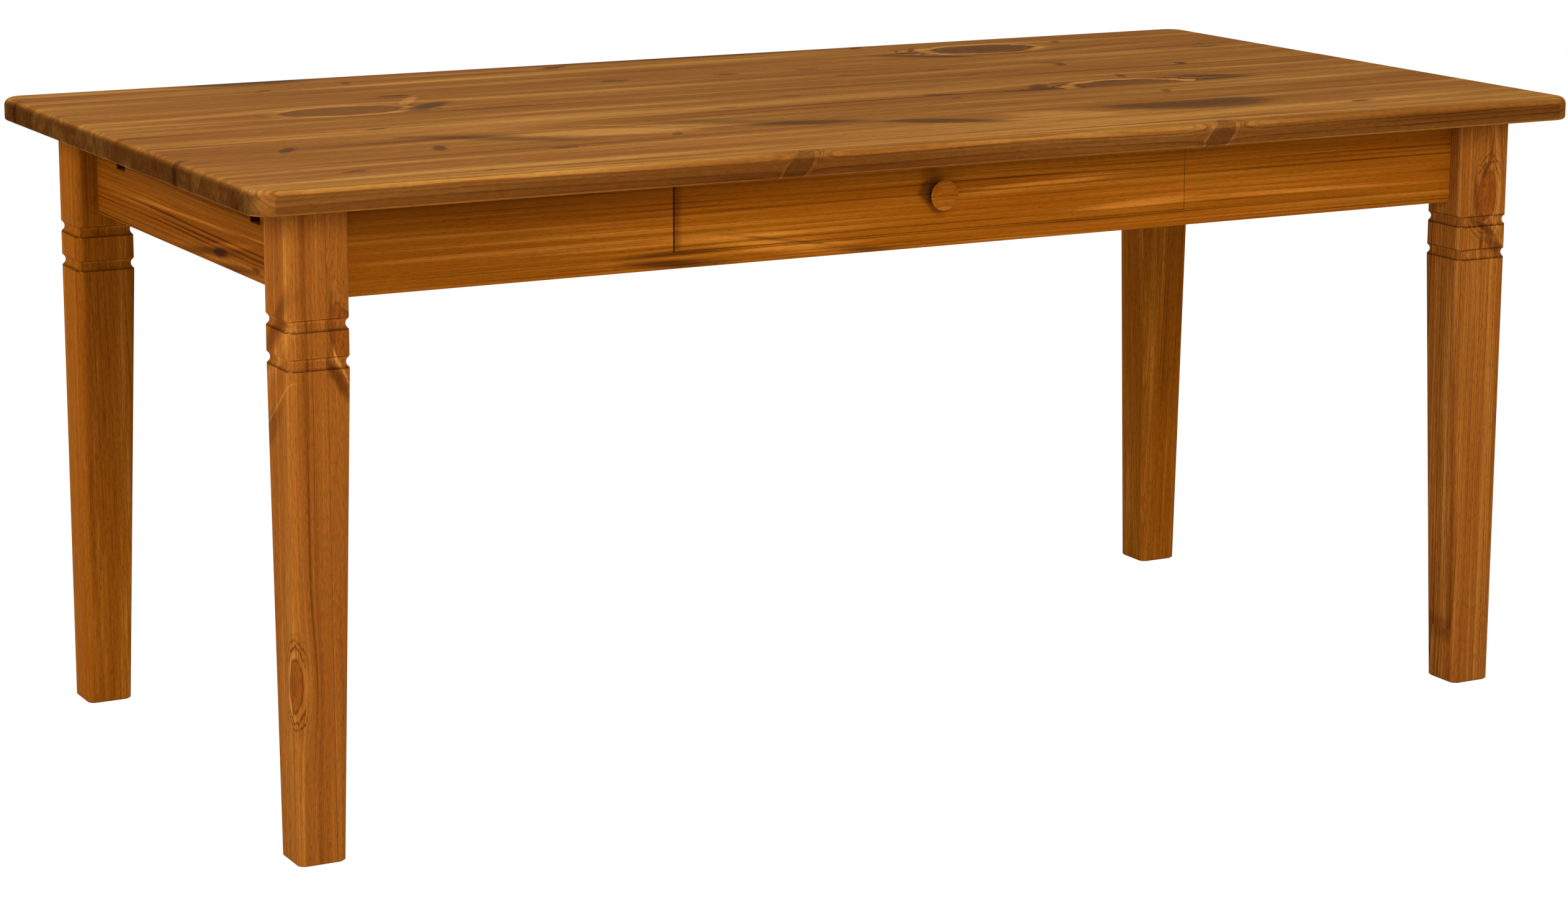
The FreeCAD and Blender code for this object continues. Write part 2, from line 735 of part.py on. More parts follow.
# Knob
def knob():
    r = knob_diameter / 2
    base = knob_base_diameter / 2
    neck = knob_neck_diameter / 2
    y0 = -apron_out_y

    def at(radius, height):
        return Vector(radius, y0 - height, knob_z)

    waist = at(neck, (knob_base_height + knob_neck_height) / 2)
    neck_top = at(neck + knob_neck_flare / 2, knob_neck_height)
    rim_low = at(r - knob_rim_round, knob_neck_height + knob_rim_round)
    rim_side = at(r, knob_rim_height)
    bend = knob_rim_round * (1 - math.sqrt(0.5))
    rim_bend = at(r - bend, knob_neck_height + knob_rim_round + bend)
    # the face is a cap of a ball whose centre is on the knob's axis
    rise = knob_projection - knob_rim_height
    ball = (r * r + rise * rise) / (2 * rise)
    half_angle = math.asin(r / ball) / 2
    dome = at(ball * math.sin(half_angle), knob_projection - ball * (1 - math.cos(half_angle)))
    edges = [
        Part.makeLine(at(0, 0), at(base, 0)),
        Part.makeLine(at(base, 0), at(base, knob_base_height)),
        Part.Arc(at(base, knob_base_height), waist, neck_top).toShape(),
        Part.makeLine(neck_top, rim_low),
        Part.Arc(rim_low, rim_bend, rim_side).toShape(),
        Part.Arc(rim_side, dome, at(0, knob_projection)).toShape(),
        Part.makeLine(at(0, knob_projection), at(0, 0)),
    ]
    profile = Part.Face(Part.Wire(edges))
    return profile.revolve(Vector(0, y0, knob_z), Vector(0, 1, 0), 360)


def add_knob():
    add("knob", knob())
    washer_face = Vector(0, -apron_in_y, knob_z)
    seat = washer_face + Vector(0, knob_washer_thickness, 0)
    out = Vector(0, -1, 0)
    wide = knob_screw_diameter + 2 * thread_gap
    thin = knob_washer_thickness
    washer = Part.makeCylinder(knob_washer_diameter / 2, thin, washer_face, out * -1)
    add("knob_washer", washer.cut(hole(washer_face + out, out * -1, thin + 2, wide)))
    length = thin + apron_thickness + knob_screw_in_knob
    high = knob_screw_head_height
    head = Part.makeCylinder(knob_screw_head_diameter / 2, high, seat, out * -1)
    rim = [e for e in head.Edges if e.Closed and (e.CenterOfMass - seat).Length > high / 2]
    head = head.makeFillet(high / 2, rim)
    add("knob_screw", head.fuse(Part.makeCylinder(knob_screw_diameter / 2, length, seat, out)))
    tool = hole(seat, out, length + thread_gap, wide)
    bore("drawer_front", tool)
    bore("knob", tool)


add_top()
add_legs()
add_aprons()
add_apron_dowels()
add_corner_blocks()
add_cross_rails()
add_top_rail()
add_runners()
add_brackets()
add_drawer()
add_knob()

os.makedirs("parts", exist_ok=True)
for name, solids in nodes.items():
    finished = []
    for solid in solids:
        tools = [t for t in cutters.get(name, []) if t.BoundBox.intersect(solid.BoundBox)]
        finished.append(solid.cut(tools) if tools else solid)
    shape = finished[0] if len(finished) == 1 else Part.makeCompound(finished)
    shape.exportStep(f"parts/{name}.step")
    print(name, len(shape.Solids), "solids", "valid" if shape.isValid() else "INVALID")
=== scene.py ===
import bmesh
import bpy
from math import pi, radians
from mathutils import Euler, Matrix, Vector


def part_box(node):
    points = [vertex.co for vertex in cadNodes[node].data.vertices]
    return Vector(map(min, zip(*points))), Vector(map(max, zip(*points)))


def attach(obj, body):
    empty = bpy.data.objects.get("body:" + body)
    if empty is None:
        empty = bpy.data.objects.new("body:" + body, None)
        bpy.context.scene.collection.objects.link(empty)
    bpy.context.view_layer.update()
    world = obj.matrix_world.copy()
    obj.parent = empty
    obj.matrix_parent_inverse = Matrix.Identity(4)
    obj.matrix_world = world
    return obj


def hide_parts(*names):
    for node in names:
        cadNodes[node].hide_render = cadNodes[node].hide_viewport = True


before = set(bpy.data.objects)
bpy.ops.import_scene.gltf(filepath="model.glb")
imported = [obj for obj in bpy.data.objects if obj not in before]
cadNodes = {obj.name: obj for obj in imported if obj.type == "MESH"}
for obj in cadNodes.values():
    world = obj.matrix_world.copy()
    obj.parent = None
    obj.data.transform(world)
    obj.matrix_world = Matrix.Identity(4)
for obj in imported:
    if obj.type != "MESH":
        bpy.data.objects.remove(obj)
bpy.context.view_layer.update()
print("frame loaded,", len(cadNodes), "nodes")

socketKinds = dict(value="NodeSocketFloat", vector="NodeSocketVector", colour="NodeSocketColor",
                   whole="NodeSocketInt", mesh="NodeSocketGeometry", material="NodeSocketMaterial")
perMetre = 1000.0  # millimetres in a metre


class Wiring:  # adds nodes to one tree and hands back their outputs
    def __init__(self, tree):
        self.tree = tree

    def feed(self, socket, value):
        if isinstance(value, bpy.types.NodeSocket):
            self.tree.links.new(value, socket)
        else:
            socket.default_value = value

    def add(self, kind, inputs=None, output=0, **settings):
        made = self.tree.nodes.new(kind)
        for name, value in settings.items():
            setattr(made, name, value)
        for socket, value in (inputs or {}).items():
            self.feed(made.inputs[socket], value)
        return made.outputs[output]

    def math(self, operation, *values, clamp=False):
        inputs = dict(enumerate(values))
        return self.add("ShaderNodeMath", inputs, operation=operation, use_clamp=clamp)

    def plus(self, a, b):
        return self.math("ADD", a, b)

    def minus(self, a, b):
        return self.math("SUBTRACT", a, b)

    def times(self, a, b):
        return self.math("MULTIPLY", a, b)

    def over(self, a, b):
        return self.math("DIVIDE", a, b)

    def most(self, a, b):
        return self.math("MAXIMUM", a, b)

    def size(self, value):
        return self.math("ABSOLUTE", value)

    def length(self, *values):
        total = 0.0
        for value in values:
            total = self.plus(total, self.times(value, value))
        return self.math("SQRT", total)

    def rise(self, value, low, high, floor=0.0, top=1.0):  # smooth step from floor at low to top at high
        inputs = {0: value, 1: low, 2: high, 3: floor, 4: top}
        return self.add("ShaderNodeMapRange", inputs, interpolation_type="SMOOTHSTEP")

    def fall(self, value, low, high):
        return self.rise(value, low, high, 1.0, 0.0)

    def band(self, value, a, b, c, d):  # 0 below a, 1 from b to c, 0 above d
        return self.times(self.rise(value, a, b), self.fall(value, c, d))

    def split(self, vector):
        made = self.tree.nodes.new("ShaderNodeSeparateXYZ")
        self.feed(made.inputs[0], vector)
        return made.outputs

    def join(self, x, y, z):
        return self.add("ShaderNodeCombineXYZ", {0: x, 1: y, 2: z})

    def vectors(self, operation, a, b):
        return self.add("ShaderNodeVectorMath", {0: a, 1: b}, operation=operation)

    def scaled(self, vector, factor):
        return self.add("ShaderNodeVectorMath", {0: vector, 3: factor}, operation="SCALE")

    def stretch(self, vector, sizes, seed=0.0):  # a vector in units of sizes, moved along by seed
        return self.vectors("ADD", self.vectors("DIVIDE", vector, sizes), self.join(seed, seed, seed))

    def noise(self, vector, detail=2.0, roughness=0.5, scale=1.0):
        inputs = {"Vector": vector, "Scale": scale, "Detail": detail, "Roughness": roughness}
        return self.add("ShaderNodeTexNoise", inputs)

    def swing(self, vector, sizes, seed, detail=2.0, roughness=0.5):  # noise from about -1 to 1
        noise = self.noise(self.stretch(vector, sizes, seed), detail, roughness)
        return self.times(self.minus(noise, 0.5), 3.0)

    def mix(self, factor, first, second, blend="MIX"):
        inputs = {0: factor, 6: first, 7: second}
        return self.add("ShaderNodeMix", inputs, 2, data_type="RGBA", blend_type=blend, clamp_factor=True)

    def group(self, name, inputs):
        made = self.tree.nodes.new("ShaderNodeGroup")
        made.node_tree = bpy.data.node_groups[name]
        for socket, value in inputs.items():
            self.feed(made.inputs[socket], value)
        return made.outputs

    def turned(self, a, b, angle):  # a and b read in axes turned by angle
        cosine, sine = self.math("COSINE", angle), self.math("SINE", angle)
        first = self.plus(self.times(a, cosine), self.times(b, sine))
        return first, self.minus(self.times(b, cosine), self.times(a, sine))

    def place(self):  # object coordinates in millimetres
        return self.scaled(self.add("ShaderNodeTexCoord", output=3), perMetre)

    def seen(self):  # 1 for the camera, reflections and glass, 0 for light on the object
        path = self.tree.nodes.new("ShaderNodeLightPath").outputs
        mirrored = self.most(path["Is Glossy Ray"], path["Is Transmission Ray"])
        return self.most(path["Is Camera Ray"], mirrored)

    def bump(self, shader, height, strength, distance):
        inputs = {"Height": height, "Strength": strength, "Distance": distance}
        self.feed(shader["Normal"], self.add("ShaderNodeBump", inputs))


def newGroup(name, inputs, outputs, treeKind="ShaderNodeTree"):
    tree = bpy.data.node_groups.new(name, treeKind)
    for socketName, (kind, value) in inputs.items():
        socket = tree.interface.new_socket(name=socketName, in_out="INPUT", socket_type=socketKinds[kind])
        if value is not None:
            socket.default_value = value
    for socketName, kind in outputs.items():
        tree.interface.new_socket(name=socketName, in_out="OUTPUT", socket_type=socketKinds[kind])
    entry = tree.nodes.new("NodeGroupInput").outputs
    leave = tree.nodes.new("NodeGroupOutput").inputs
    return Wiring(tree), entry, leave


def numbers(defaults):  # inputs that are plain numbers
    return {name: ("value", value) for name, value in defaults.items()}


# Every board is read in millimetres as (along the grain, across its face, into its depth).
boardInput = {"Board": ("vector", (0, 0, 0))}
spotInputs = {**boardInput, "Centre": ("vector", (0, 0, 0)), "Size": ("vector", (20, 10, 1000)),
              **numbers(dict(Wobble=0.0, Turn=0.0))}


def spotReach(w, entry):  # distances from a turned ellipsoid's centre, in units of its half sizes
    a, c, d = w.split(w.vectors("SUBTRACT", entry["Board"], entry["Centre"]))
    lengthwise, sidewise = w.turned(a, c, entry["Turn"])
    u, v, n = w.split(w.vectors("DIVIDE", w.join(lengthwise, sidewise, d), entry["Size"]))
    return c, u, v, n, w.length(u, v, n)


knotShape = dict(  # distances in units of the knot's half sizes
    wobble=0.5, spread=0.22, heart=(0.84, 1.0), heartRings=26.0, ringBase=0.85, ringDepth=0.12,
    outline=(0.88, 0.98, 1.0, 1.1), outlineShade=0.9, halo=(1.04, 1.14, 1.24, 1.5),
    stroke=(1.25, 1.35, 1.5, 2.2), strands=23.0, strandEdge=(0.1, 0.9), strokeEnds=(0.3, 0.8),
    tailStart=(1.3, 1.7), tailWidth=0.7, tailEdge=(0.4, 1.0))


def makeKnotGroup():  # an eye knot: heart, dark outline, pale ring, dark strokes that run out with the grain
    extra = numbers(dict(Heart=0.0, Dark=0.0, Light=0.0, Core=1.0, Push=0.7, Rim=0.6, Halo=0.3, Tail=2.6,
                         Side=0.0))
    outputs = {"Board": "vector", "Heart": "value", "Dark": "value", "Light": "value"}
    w, entry, leave = newGroup("pineKnot", {**spotInputs, **extra}, outputs)
    c, u, v, n, reach = spotReach(w, entry)
    q = w.times(reach, w.plus(1.0, w.times(entry["Wobble"], knotShape["wobble"])))
    along, across, depth = w.split(entry["Board"])
    near = w.math("EXPONENT", w.times(w.times(reach, reach), -knotShape["spread"]))
    pushed = w.minus(across, w.times(w.times(c, near), entry["Push"]))
    w.feed(leave["Board"], w.join(along, pushed, depth))
    rings = w.math("SINE", w.times(q, knotShape["heartRings"]))
    rings = w.plus(knotShape["ringBase"], w.times(rings, knotShape["ringDepth"]))
    heart = w.times(w.times(w.fall(q, *knotShape["heart"]), rings), entry["Core"])
    w.feed(leave["Heart"], w.most(entry["Heart"], heart))
    endwise = w.over(u, w.plus(reach, 0.05))
    side = w.rise(w.plus(0.5, w.times(w.times(endwise, entry["Side"]), 0.5)), 0.1, 0.5)
    ends = w.rise(w.size(endwise), *knotShape["strokeEnds"])
    strands = w.rise(w.math("SINE", w.times(q, knotShape["strands"])), *knotShape["strandEdge"])
    stroke = w.times(w.times(w.times(w.band(q, *knotShape["stroke"]), strands), ends), side)
    taper = w.times(w.minus(1.0, w.over(w.size(u), entry["Tail"])), knotShape["tailWidth"])
    tail = w.fall(w.over(w.length(v, n), w.most(taper, 0.001)), *knotShape["tailEdge"])
    tail = w.times(tail, w.rise(w.size(u), *knotShape["tailStart"]))
    outline = w.times(w.band(q, *knotShape["outline"]), knotShape["outlineShade"])
    dark = w.most(w.most(stroke, w.times(tail, side)), outline)
    w.feed(leave["Dark"], w.most(entry["Dark"], w.times(dark, entry["Rim"])))
    halo = w.times(w.band(q, *knotShape["halo"]), entry["Halo"])
    w.feed(leave["Light"], w.most(entry["Light"], halo))


patchShape = dict(wobble=0.4, streaks=(160, 2.5, 2.5), streakSeed=3.0, streakBase=0.82, streakDepth=0.16)


def makePatchGroup():  # a soft streak or patch, darker or paler than the board: grain figure, and also painted shade and painted sheen
    extra = numbers(dict(Dark=0.0, Light=0.0, Shade=0.0, Glow=0.0, Soft=0.5))
    w, entry, leave = newGroup("grainAndPaintedLightPatch", {**spotInputs, **extra}, {"Dark": "value", "Light": "value"})
    q = w.plus(spotReach(w, entry)[-1], w.times(entry["Wobble"], patchShape["wobble"]))
    mask = w.fall(q, w.minus(1.0, entry["Soft"]), w.plus(1.0, w.times(entry["Soft"], 0.5)))
    streaks = w.swing(entry["Board"], patchShape["streaks"], patchShape["streakSeed"])
    mask = w.times(mask, w.plus(patchShape["streakBase"], w.times(streaks, patchShape["streakDepth"])))
    w.feed(leave["Dark"], w.most(entry["Dark"], w.times(mask, entry["Shade"])))
    w.feed(leave["Light"], w.most(entry["Light"], w.times(mask, entry["Glow"])))


ringShape = dict(
    slow=(900, 150, 150), slowSwing=5.0, quick=(130, 10, 10), quickSwing=0.5, pace=0.31, uneven=2.4,
    darken=(0.3, 0.88), stop=(0.9, 1.0), gaps=(420, 26, 26), gapSeed=5.0, gapEdge=(-0.7, 0.5), faint=0.25)


def makeRingGroup():  # growth rings about a heart that lies beside the board
    inputs = {**boardInput, **numbers({
        "Heart Across": 0.0, "Heart Depth": 0.0, "Slope": 0.0, "Ring Width": 4.0, "Wave": 1.0,
        "Tight Start": 0.0, "Tight Span": 0.0, "Tight Width": 2.5, "Seed": 0.0})}
    w, entry, leave = newGroup("growthRings", inputs, {"Late": "value", "Ring": "value"})
    along, across, depth = w.split(entry["Board"])
    across = w.minus(across, w.times(along, entry["Slope"]))
    level = w.join(along, across, depth)
    slow = w.swing(level, ringShape["slow"], entry["Seed"])
    quick = w.swing(level, ringShape["quick"], entry["Seed"])
    wave = w.plus(w.times(slow, ringShape["slowSwing"]), w.times(quick, ringShape["quickSwing"]))
    radius = w.length(w.minus(across, entry["Heart Across"]), w.minus(depth, entry["Heart Depth"]))
    radius = w.plus(radius, w.times(wave, entry["Wave"]))
    tight = w.math("MINIMUM", w.most(w.minus(across, entry["Tight Start"]), 0.0), entry["Tight Span"])
    count = w.plus(w.over(radius, entry["Ring Width"]), w.over(tight, entry["Tight Width"]))
    uneven = w.add("ShaderNodeTexNoise", {
        "W": w.plus(w.times(count, ringShape["pace"]), entry["Seed"]), "Scale": 1.0, "Detail": 1.0},
        noise_dimensions="1D")
    count = w.plus(count, w.times(uneven, ringShape["uneven"]))
    part = w.math("FRACT", count)
    year = w.math("FLOOR", count)
    strength = w.add("ShaderNodeTexWhiteNoise", {"W": w.plus(year, entry["Seed"])}, noise_dimensions="1D")
    late = w.times(w.rise(part, *ringShape["darken"]), w.fall(part, *ringShape["stop"]))
    present = w.swing(level, ringShape["gaps"], w.plus(entry["Seed"], ringShape["gapSeed"]))
    present = w.rise(present, *ringShape["gapEdge"], ringShape["faint"], 1.0)
    w.feed(leave["Late"], w.times(w.times(late, present), w.plus(0.3, w.times(strength, 0.7))))
    w.feed(leave["Ring"], strength)


fibreShape = dict(
    fibre=(12, 0.8, 0.8), fine=(300, 1.8, 1.8), fineShare=0.7, broad=(700, 7.0, 7.0), broadShare=0.6,
    dash=(9, 0.8, 0.8), dashEdge=(0.6, 0.72), blotch=(600, 30, 30))


def makeFibreGroup():
    inputs = {**boardInput, **numbers(dict(Slope=0.0, Coarse=1.0, Seed=0.0))}
    outputs = {"Fibre": "value", "Streak": "value", "Dash": "value", "Blotch": "value"}
    w, entry, leave = newGroup("pineFibre", inputs, outputs)
    along, across, depth = w.split(entry["Board"])
    level = w.join(along, w.minus(across, w.times(along, entry["Slope"])), depth)
    close = w.vectors("DIVIDE", level, w.join(1.0, entry["Coarse"], entry["Coarse"]))
    w.feed(leave["Fibre"], w.swing(close, fibreShape["fibre"], entry["Seed"], 4.0, 0.65))
    fine = w.times(w.swing(close, fibreShape["fine"], entry["Seed"]), fibreShape["fineShare"])
    broad = w.times(w.swing(close, fibreShape["broad"], entry["Seed"]), fibreShape["broadShare"])
    w.feed(leave["Streak"], w.plus(fine, broad))
    dash = w.noise(w.stretch(close, fibreShape["dash"], entry["Seed"]), 1.0, 0.5)
    w.feed(leave["Dash"], w.rise(dash, *fibreShape["dashEdge"]))
    w.feed(leave["Blotch"], w.swing(level, fibreShape["blotch"], entry["Seed"], 3.0))


fleckShape = dict(
    lean=0.5, leanSpread=1.6, least=0.55, growth=0.55, ragged=(8, 3, 3), raggedness=0.5,
    outline=(0.6, 1.15), faintest=0.5, darkening=0.5)


def makeFleckGroup():  # short slanting marks where small twigs cross the grain
    inputs = {**boardInput, "Room": ("vector", (150, 75, 1)), "Size": ("vector", (25, 9, 1)),
              **numbers(dict(Share=0.3, Seed=0.0))}
    w, entry, leave = newGroup("twigFleck", inputs, {"Fleck": "value"})
    place = w.stretch(entry["Board"], entry["Room"], entry["Seed"])
    cells = w.tree.nodes.new("ShaderNodeTexVoronoi")
    cells.voronoi_dimensions = "2D"
    w.feed(cells.inputs["Vector"], place)
    w.feed(cells.inputs["Scale"], 1.0)
    offset = w.vectors("MULTIPLY", w.vectors("SUBTRACT", place, cells.outputs["Position"]), entry["Room"])
    chance, lean, strength = w.split(cells.outputs["Color"])
    turn = w.plus(w.times(w.minus(lean, 0.5), fleckShape["leanSpread"]), fleckShape["lean"])
    a, c, d = w.split(offset)
    local = w.join(*w.turned(a, c, turn), 0)
    width = w.plus(fleckShape["least"], w.times(strength, fleckShape["growth"]))
    u, v, n = w.split(w.vectors("DIVIDE", w.scaled(local, w.over(1.0, width)), entry["Size"]))
    ragged = w.swing(entry["Board"], fleckShape["ragged"], entry["Seed"])
    ragged = w.times(ragged, fleckShape["raggedness"])
    mask = w.fall(w.plus(w.length(u, v), ragged), *fleckShape["outline"])
    chosen = w.math("LESS_THAN", chance, entry["Share"])
    shade = w.plus(fleckShape["faintest"], w.times(strength, fleckShape["darkening"]))
    w.feed(leave["Fleck"], w.times(w.times(mask, chosen), shade))


edgeShape = dict(patchScale=22.0, unevenness=3.0, slant=(0.25, 0.85))


def makeEdgeGroup():  # rounded edges, found by their slanting normals
    inputs = numbers(dict(Upright=1.0, Level=1.0, Patchy=0.5))
    w, entry, leave = newGroup("wornEdge", inputs, {"Edge": "value"})
    geometry = w.tree.nodes.new("ShaderNodeNewGeometry")
    x, y, z = w.split(geometry.outputs["Normal"])
    upright = w.times(w.size(w.times(x, y)), 2.0)
    level = w.times(w.size(w.times(z, w.length(x, y))), 2.0)
    rounded = w.most(w.times(upright, entry["Upright"]), w.times(level, entry["Level"]))
    patches = w.noise(w.add("ShaderNodeTexCoord", output=3), 3.0, 0.6, edgeShape["patchScale"])
    uneven = w.times(entry["Patchy"], edgeShape["unevenness"])
    uneven = w.plus(1.0, w.times(w.minus(patches, 0.5), uneven))
    slant = w.rise(rounded, *edgeShape["slant"])
    w.feed(leave["Edge"], w.math("MULTIPLY", slant, uneven, clamp=True))


stain = dict(  # how strongly each feature shows in the colour: the wood's figure and the painted light on downward faces
    late=0.85, ring=0.2, middle=0.32, light=0.45, dark=0.85, heart=0.85, seam=0.3, end=0.66,
    blotchRed=0.1, sideRed=0.3, sideDark=0.2, paintedUnderLight=0.45)
sheen = dict(fibre=0.06, heart=0.08, edge=0.05, end=0.15)
relief = dict(late=0.06, fibre=0.03, dash=0.05, seam=0.12, heart=0.06)


def makeFinishGroup():
    colours = dict(Pale=(0.5, 0.3, 0.1, 1), Warm=(0.35, 0.2, 0.06, 1), Deep=(0.2, 0.1, 0.03, 1),
                   Knot=(0.1, 0.04, 0.02, 1), Shadow=(0.08, 0.04, 0.02, 1), Worn=(0.5, 0.25, 0.08, 1))
    masks = dict.fromkeys(("Late", "Ring", "Fibre", "Streak", "Dash", "Blotch", "Heart", "Dark", "Light",
                           "End", "Edge", "Seam", "Side", "Painted Light Below"), 0.0)
    amounts = dict(Speckle=0.2, Lines=0.7, Brush=0.25, Cloud=0.2, Pores=0.25, Wear=0.3, Sheen=0.42, Tone=1.0)
    inputs = {**{part: ("colour", value) for part, value in colours.items()},
              **numbers({**masks, **amounts})}
    outputs = {"Colour": "colour", "Roughness": "value", "Height": "value"}
    w, entry, leave = newGroup("stainedPine", inputs, outputs)
    ringTone = w.plus(w.times(entry["Late"], stain["late"]), w.times(entry["Ring"], stain["ring"]))
    ringTone = w.times(w.minus(ringTone, stain["middle"]), entry["Lines"])
    streaks = w.times(entry["Streak"], entry["Brush"])
    clouds = w.times(entry["Blotch"], entry["Cloud"])
    depth = w.plus(w.plus(ringTone, streaks), w.plus(clouds, 0.5))
    depth = w.minus(depth, w.times(entry["Light"], stain["light"]))
    colour = w.mix(w.rise(depth, 0.0, 0.5), entry["Pale"], entry["Warm"])
    colour = w.mix(w.rise(depth, 0.5, 1.0), colour, entry["Deep"])
    colour = w.mix(w.times(entry["Dark"], stain["dark"]), colour, entry["Shadow"])
    colour = w.mix(w.times(entry["Heart"], stain["heart"]), colour, entry["Knot"])
    grain = w.plus(1.0, w.times(entry["Fibre"], entry["Speckle"]))
    grain = w.times(grain, w.minus(1.0, w.times(entry["Dash"], entry["Pores"])))
    grain = w.times(w.times(grain, entry["Tone"]), w.minus(1.0, w.times(entry["Seam"], stain["seam"])))
    grain = w.times(grain, w.minus(1.0, w.times(entry["End"], stain["end"])))
    red = w.plus(w.times(entry["Blotch"], stain["blotchRed"]), w.times(entry["Side"], stain["sideRed"]))
    darker = w.minus(1.0, w.times(entry["Side"], stain["sideDark"]))
    tint = w.join(darker, w.minus(1.0, red), w.minus(1.0, red))
    # painted light: downward faces, mostly the upper halves of the leg coves, are made paler to lift the
    # shade that falls there
    grain = w.times(grain, w.plus(1.0, w.times(entry["Painted Light Below"], stain["paintedUnderLight"])))
    colour = w.scaled(w.vectors("MULTIPLY", colour, tint), grain)
    w.feed(leave["Colour"], w.mix(w.times(entry["Edge"], entry["Wear"]), colour, entry["Worn"]))
    rough = w.plus(entry["Sheen"], w.times(entry["Fibre"], sheen["fibre"]))
    smooth = w.plus(w.times(entry["Heart"], sheen["heart"]), w.times(entry["Edge"], sheen["edge"]))
    rough = w.minus(rough, smooth)
    w.feed(leave["Roughness"], w.plus(rough, w.times(entry["End"], sheen["end"])))
    height = w.plus(w.times(entry["Late"], relief["late"]), w.times(entry["Fibre"], relief["fibre"]))
    groove = w.plus(w.times(entry["Dash"], relief["dash"]), w.times(entry["Seam"], relief["seam"]))
    height = w.minus(height, groove)
    w.feed(leave["Height"], w.plus(height, w.times(entry["Heart"], relief["heart"])))


for makeGroup in (makeKnotGroup, makePatchGroup, makeRingGroup, makeFibreGroup, makeFleckGroup,
                  makeEdgeGroup, makeFinishGroup):
    makeGroup()
print("shared effects ready")


def newMaterial(name):
    material = bpy.data.materials.new(name)
    material.use_nodes = True
    tree = material.node_tree
    shader = tree.nodes["Principled BSDF"]
    return material, Wiring(tree), shader.inputs


honeyFinish = dict(
    pale=(0.49, 0.165, 0.019, 1), warm=(0.27, 0.074, 0.0032, 1), deep=(0.078, 0.02, 0.002, 1),
    worn=(0.42, 0.15, 0.022, 1), knot=(0.09, 0.022, 0.003, 1), shadow=(0.05, 0.0135, 0.0022, 1),
    lines=0.55, brush=0.26, cloud=0.2, speckle=0.22, pores=0.25, coarse=1.0, edge=0.2, roughness=0.5,
    gloss=0.002, bump=(1.0, 0.001))
legFinish = {**honeyFinish, "pale": (0.44, 0.16, 0.027, 1), "warm": (0.25, 0.074, 0.0085, 1),
             "deep": (0.085, 0.024, 0.003, 1), "knot": (0.19, 0.042, 0.004, 1),
             "shadow": (0.085, 0.021, 0.003, 1), "lines": 0.36, "brush": 0.27, "speckle": 0.38,
             "pores": 0.3, "coarse": 1.5, "edge": 0.05}
backLegFinish = {**legFinish, "pale": (0.46, 0.16, 0.02, 1), "warm": (0.25, 0.07, 0.0035, 1),
                 "deep": (0.078, 0.021, 0.002, 1)}
topFinish = {**honeyFinish, "pale": (0.42, 0.183, 0.037, 1), "warm": (0.232, 0.086, 0.013, 1),
             "deep": (0.085, 0.028, 0.005, 1), "knot": (0.065, 0.019, 0.004, 1),
             "shadow": (0.046, 0.019, 0.008, 1), "lines": 0.32, "brush": 0.15, "cloud": 0.4,
             "speckle": 0.26, "pores": 0.1, "coarse": 4.0, "edge": 0.05, "gloss": 0.0006,
             "roughness": 0.45}
plainFinish = dict(
    pale=(0.72, 0.51, 0.27, 1), warm=(0.62, 0.40, 0.18, 1), deep=(0.38, 0.20, 0.08, 1),
    worn=(0.72, 0.55, 0.35, 1), knot=(0.20, 0.095, 0.045, 1), shadow=(0.24, 0.14, 0.08, 1),
    lines=0.5, brush=0.2, cloud=0.15, speckle=0.16, pores=0.25, coarse=1.0, edge=0.3, roughness=0.68,
    gloss=0.05, bump=(1.0, 0.001))
finishSockets = ("pale", "warm", "deep", "knot", "shadow", "worn", "speckle", "brush", "cloud", "pores")

grainAxes = dict(x=(0, 1, 2), z=(2, 0, 1), y=(1, 0, 2), frontBoard=(0, 2, 1), endBoard=(1, 2, 0))
boardDefaults = dict(
    grain="x", finish=honeyFinish, heart=(300.0, 200.0), slope=0.0, ringWidth=4.0, wave=1.0,
    tight=(0.0, 0.0, 2.5), seed=0.0, tone=1.0, lines=1.0, upright=0.5, level=1.0, flecks=0.0,
    stainedSides=False, paintedCoveLight=0.0, knots=[], patches=[], seams=[], seamWidth=(0.15, 0.7), strip=None)
knotDefaults = dict(
    deep=50000.0, turn=0.0, core=1.0, push=0.7, rim=0.6, halo=0.3, tail=2.6, darkSide=0.0, side=False,
    strip=0)
patchDefaults = dict(deep=50000.0, turn=0.0, shade=0.0, glow=0.0, soft=0.6, side=False, strip=0)
stripShift = (5000.0, 37.0, 61.0)
spotWobble = dict(broad=(50, 12, 12), broadShare=0.33, fine=(70, 2, 2), fineShare=0.08)
faceLimits = dict(end=(0.5, 0.95), side=(0.2, 0.85), under=(-0.75, -0.1))  # by how far a face leans


def sideways(w, vector):  # swaps a board's face with its edge
    along, across, depth = w.split(vector)
    return w.join(along, depth, across)


def spotValues(feature, wobble):
    centre = Vector((*feature["at"], 0.0)[:3])
    if feature["strip"]:  # its strip of the board has been moved aside
        along, across, depth = stripShift
        centre += Vector((along, depth, across) if feature["side"] else stripShift)
    return {"Wobble": wobble, "Centre": centre, "Size": (*feature["size"], feature["deep"]),
            "Turn": radians(feature["turn"])}


def addPatches(w, board, vector, wobble):
    dark, light = 0.0, 0.0
    for patch in board["patches"]:
        patch = {**patchDefaults, **patch}
        made = w.group("grainAndPaintedLightPatch", {
            **spotValues(patch, wobble), "Board": sideways(w, vector) if patch["side"] else vector,
            "Dark": dark, "Light": light, "Shade": patch["shade"], "Glow": patch["glow"],
            "Soft": patch["soft"]})
        dark, light = made["Dark"], made["Light"]
    return dark, light


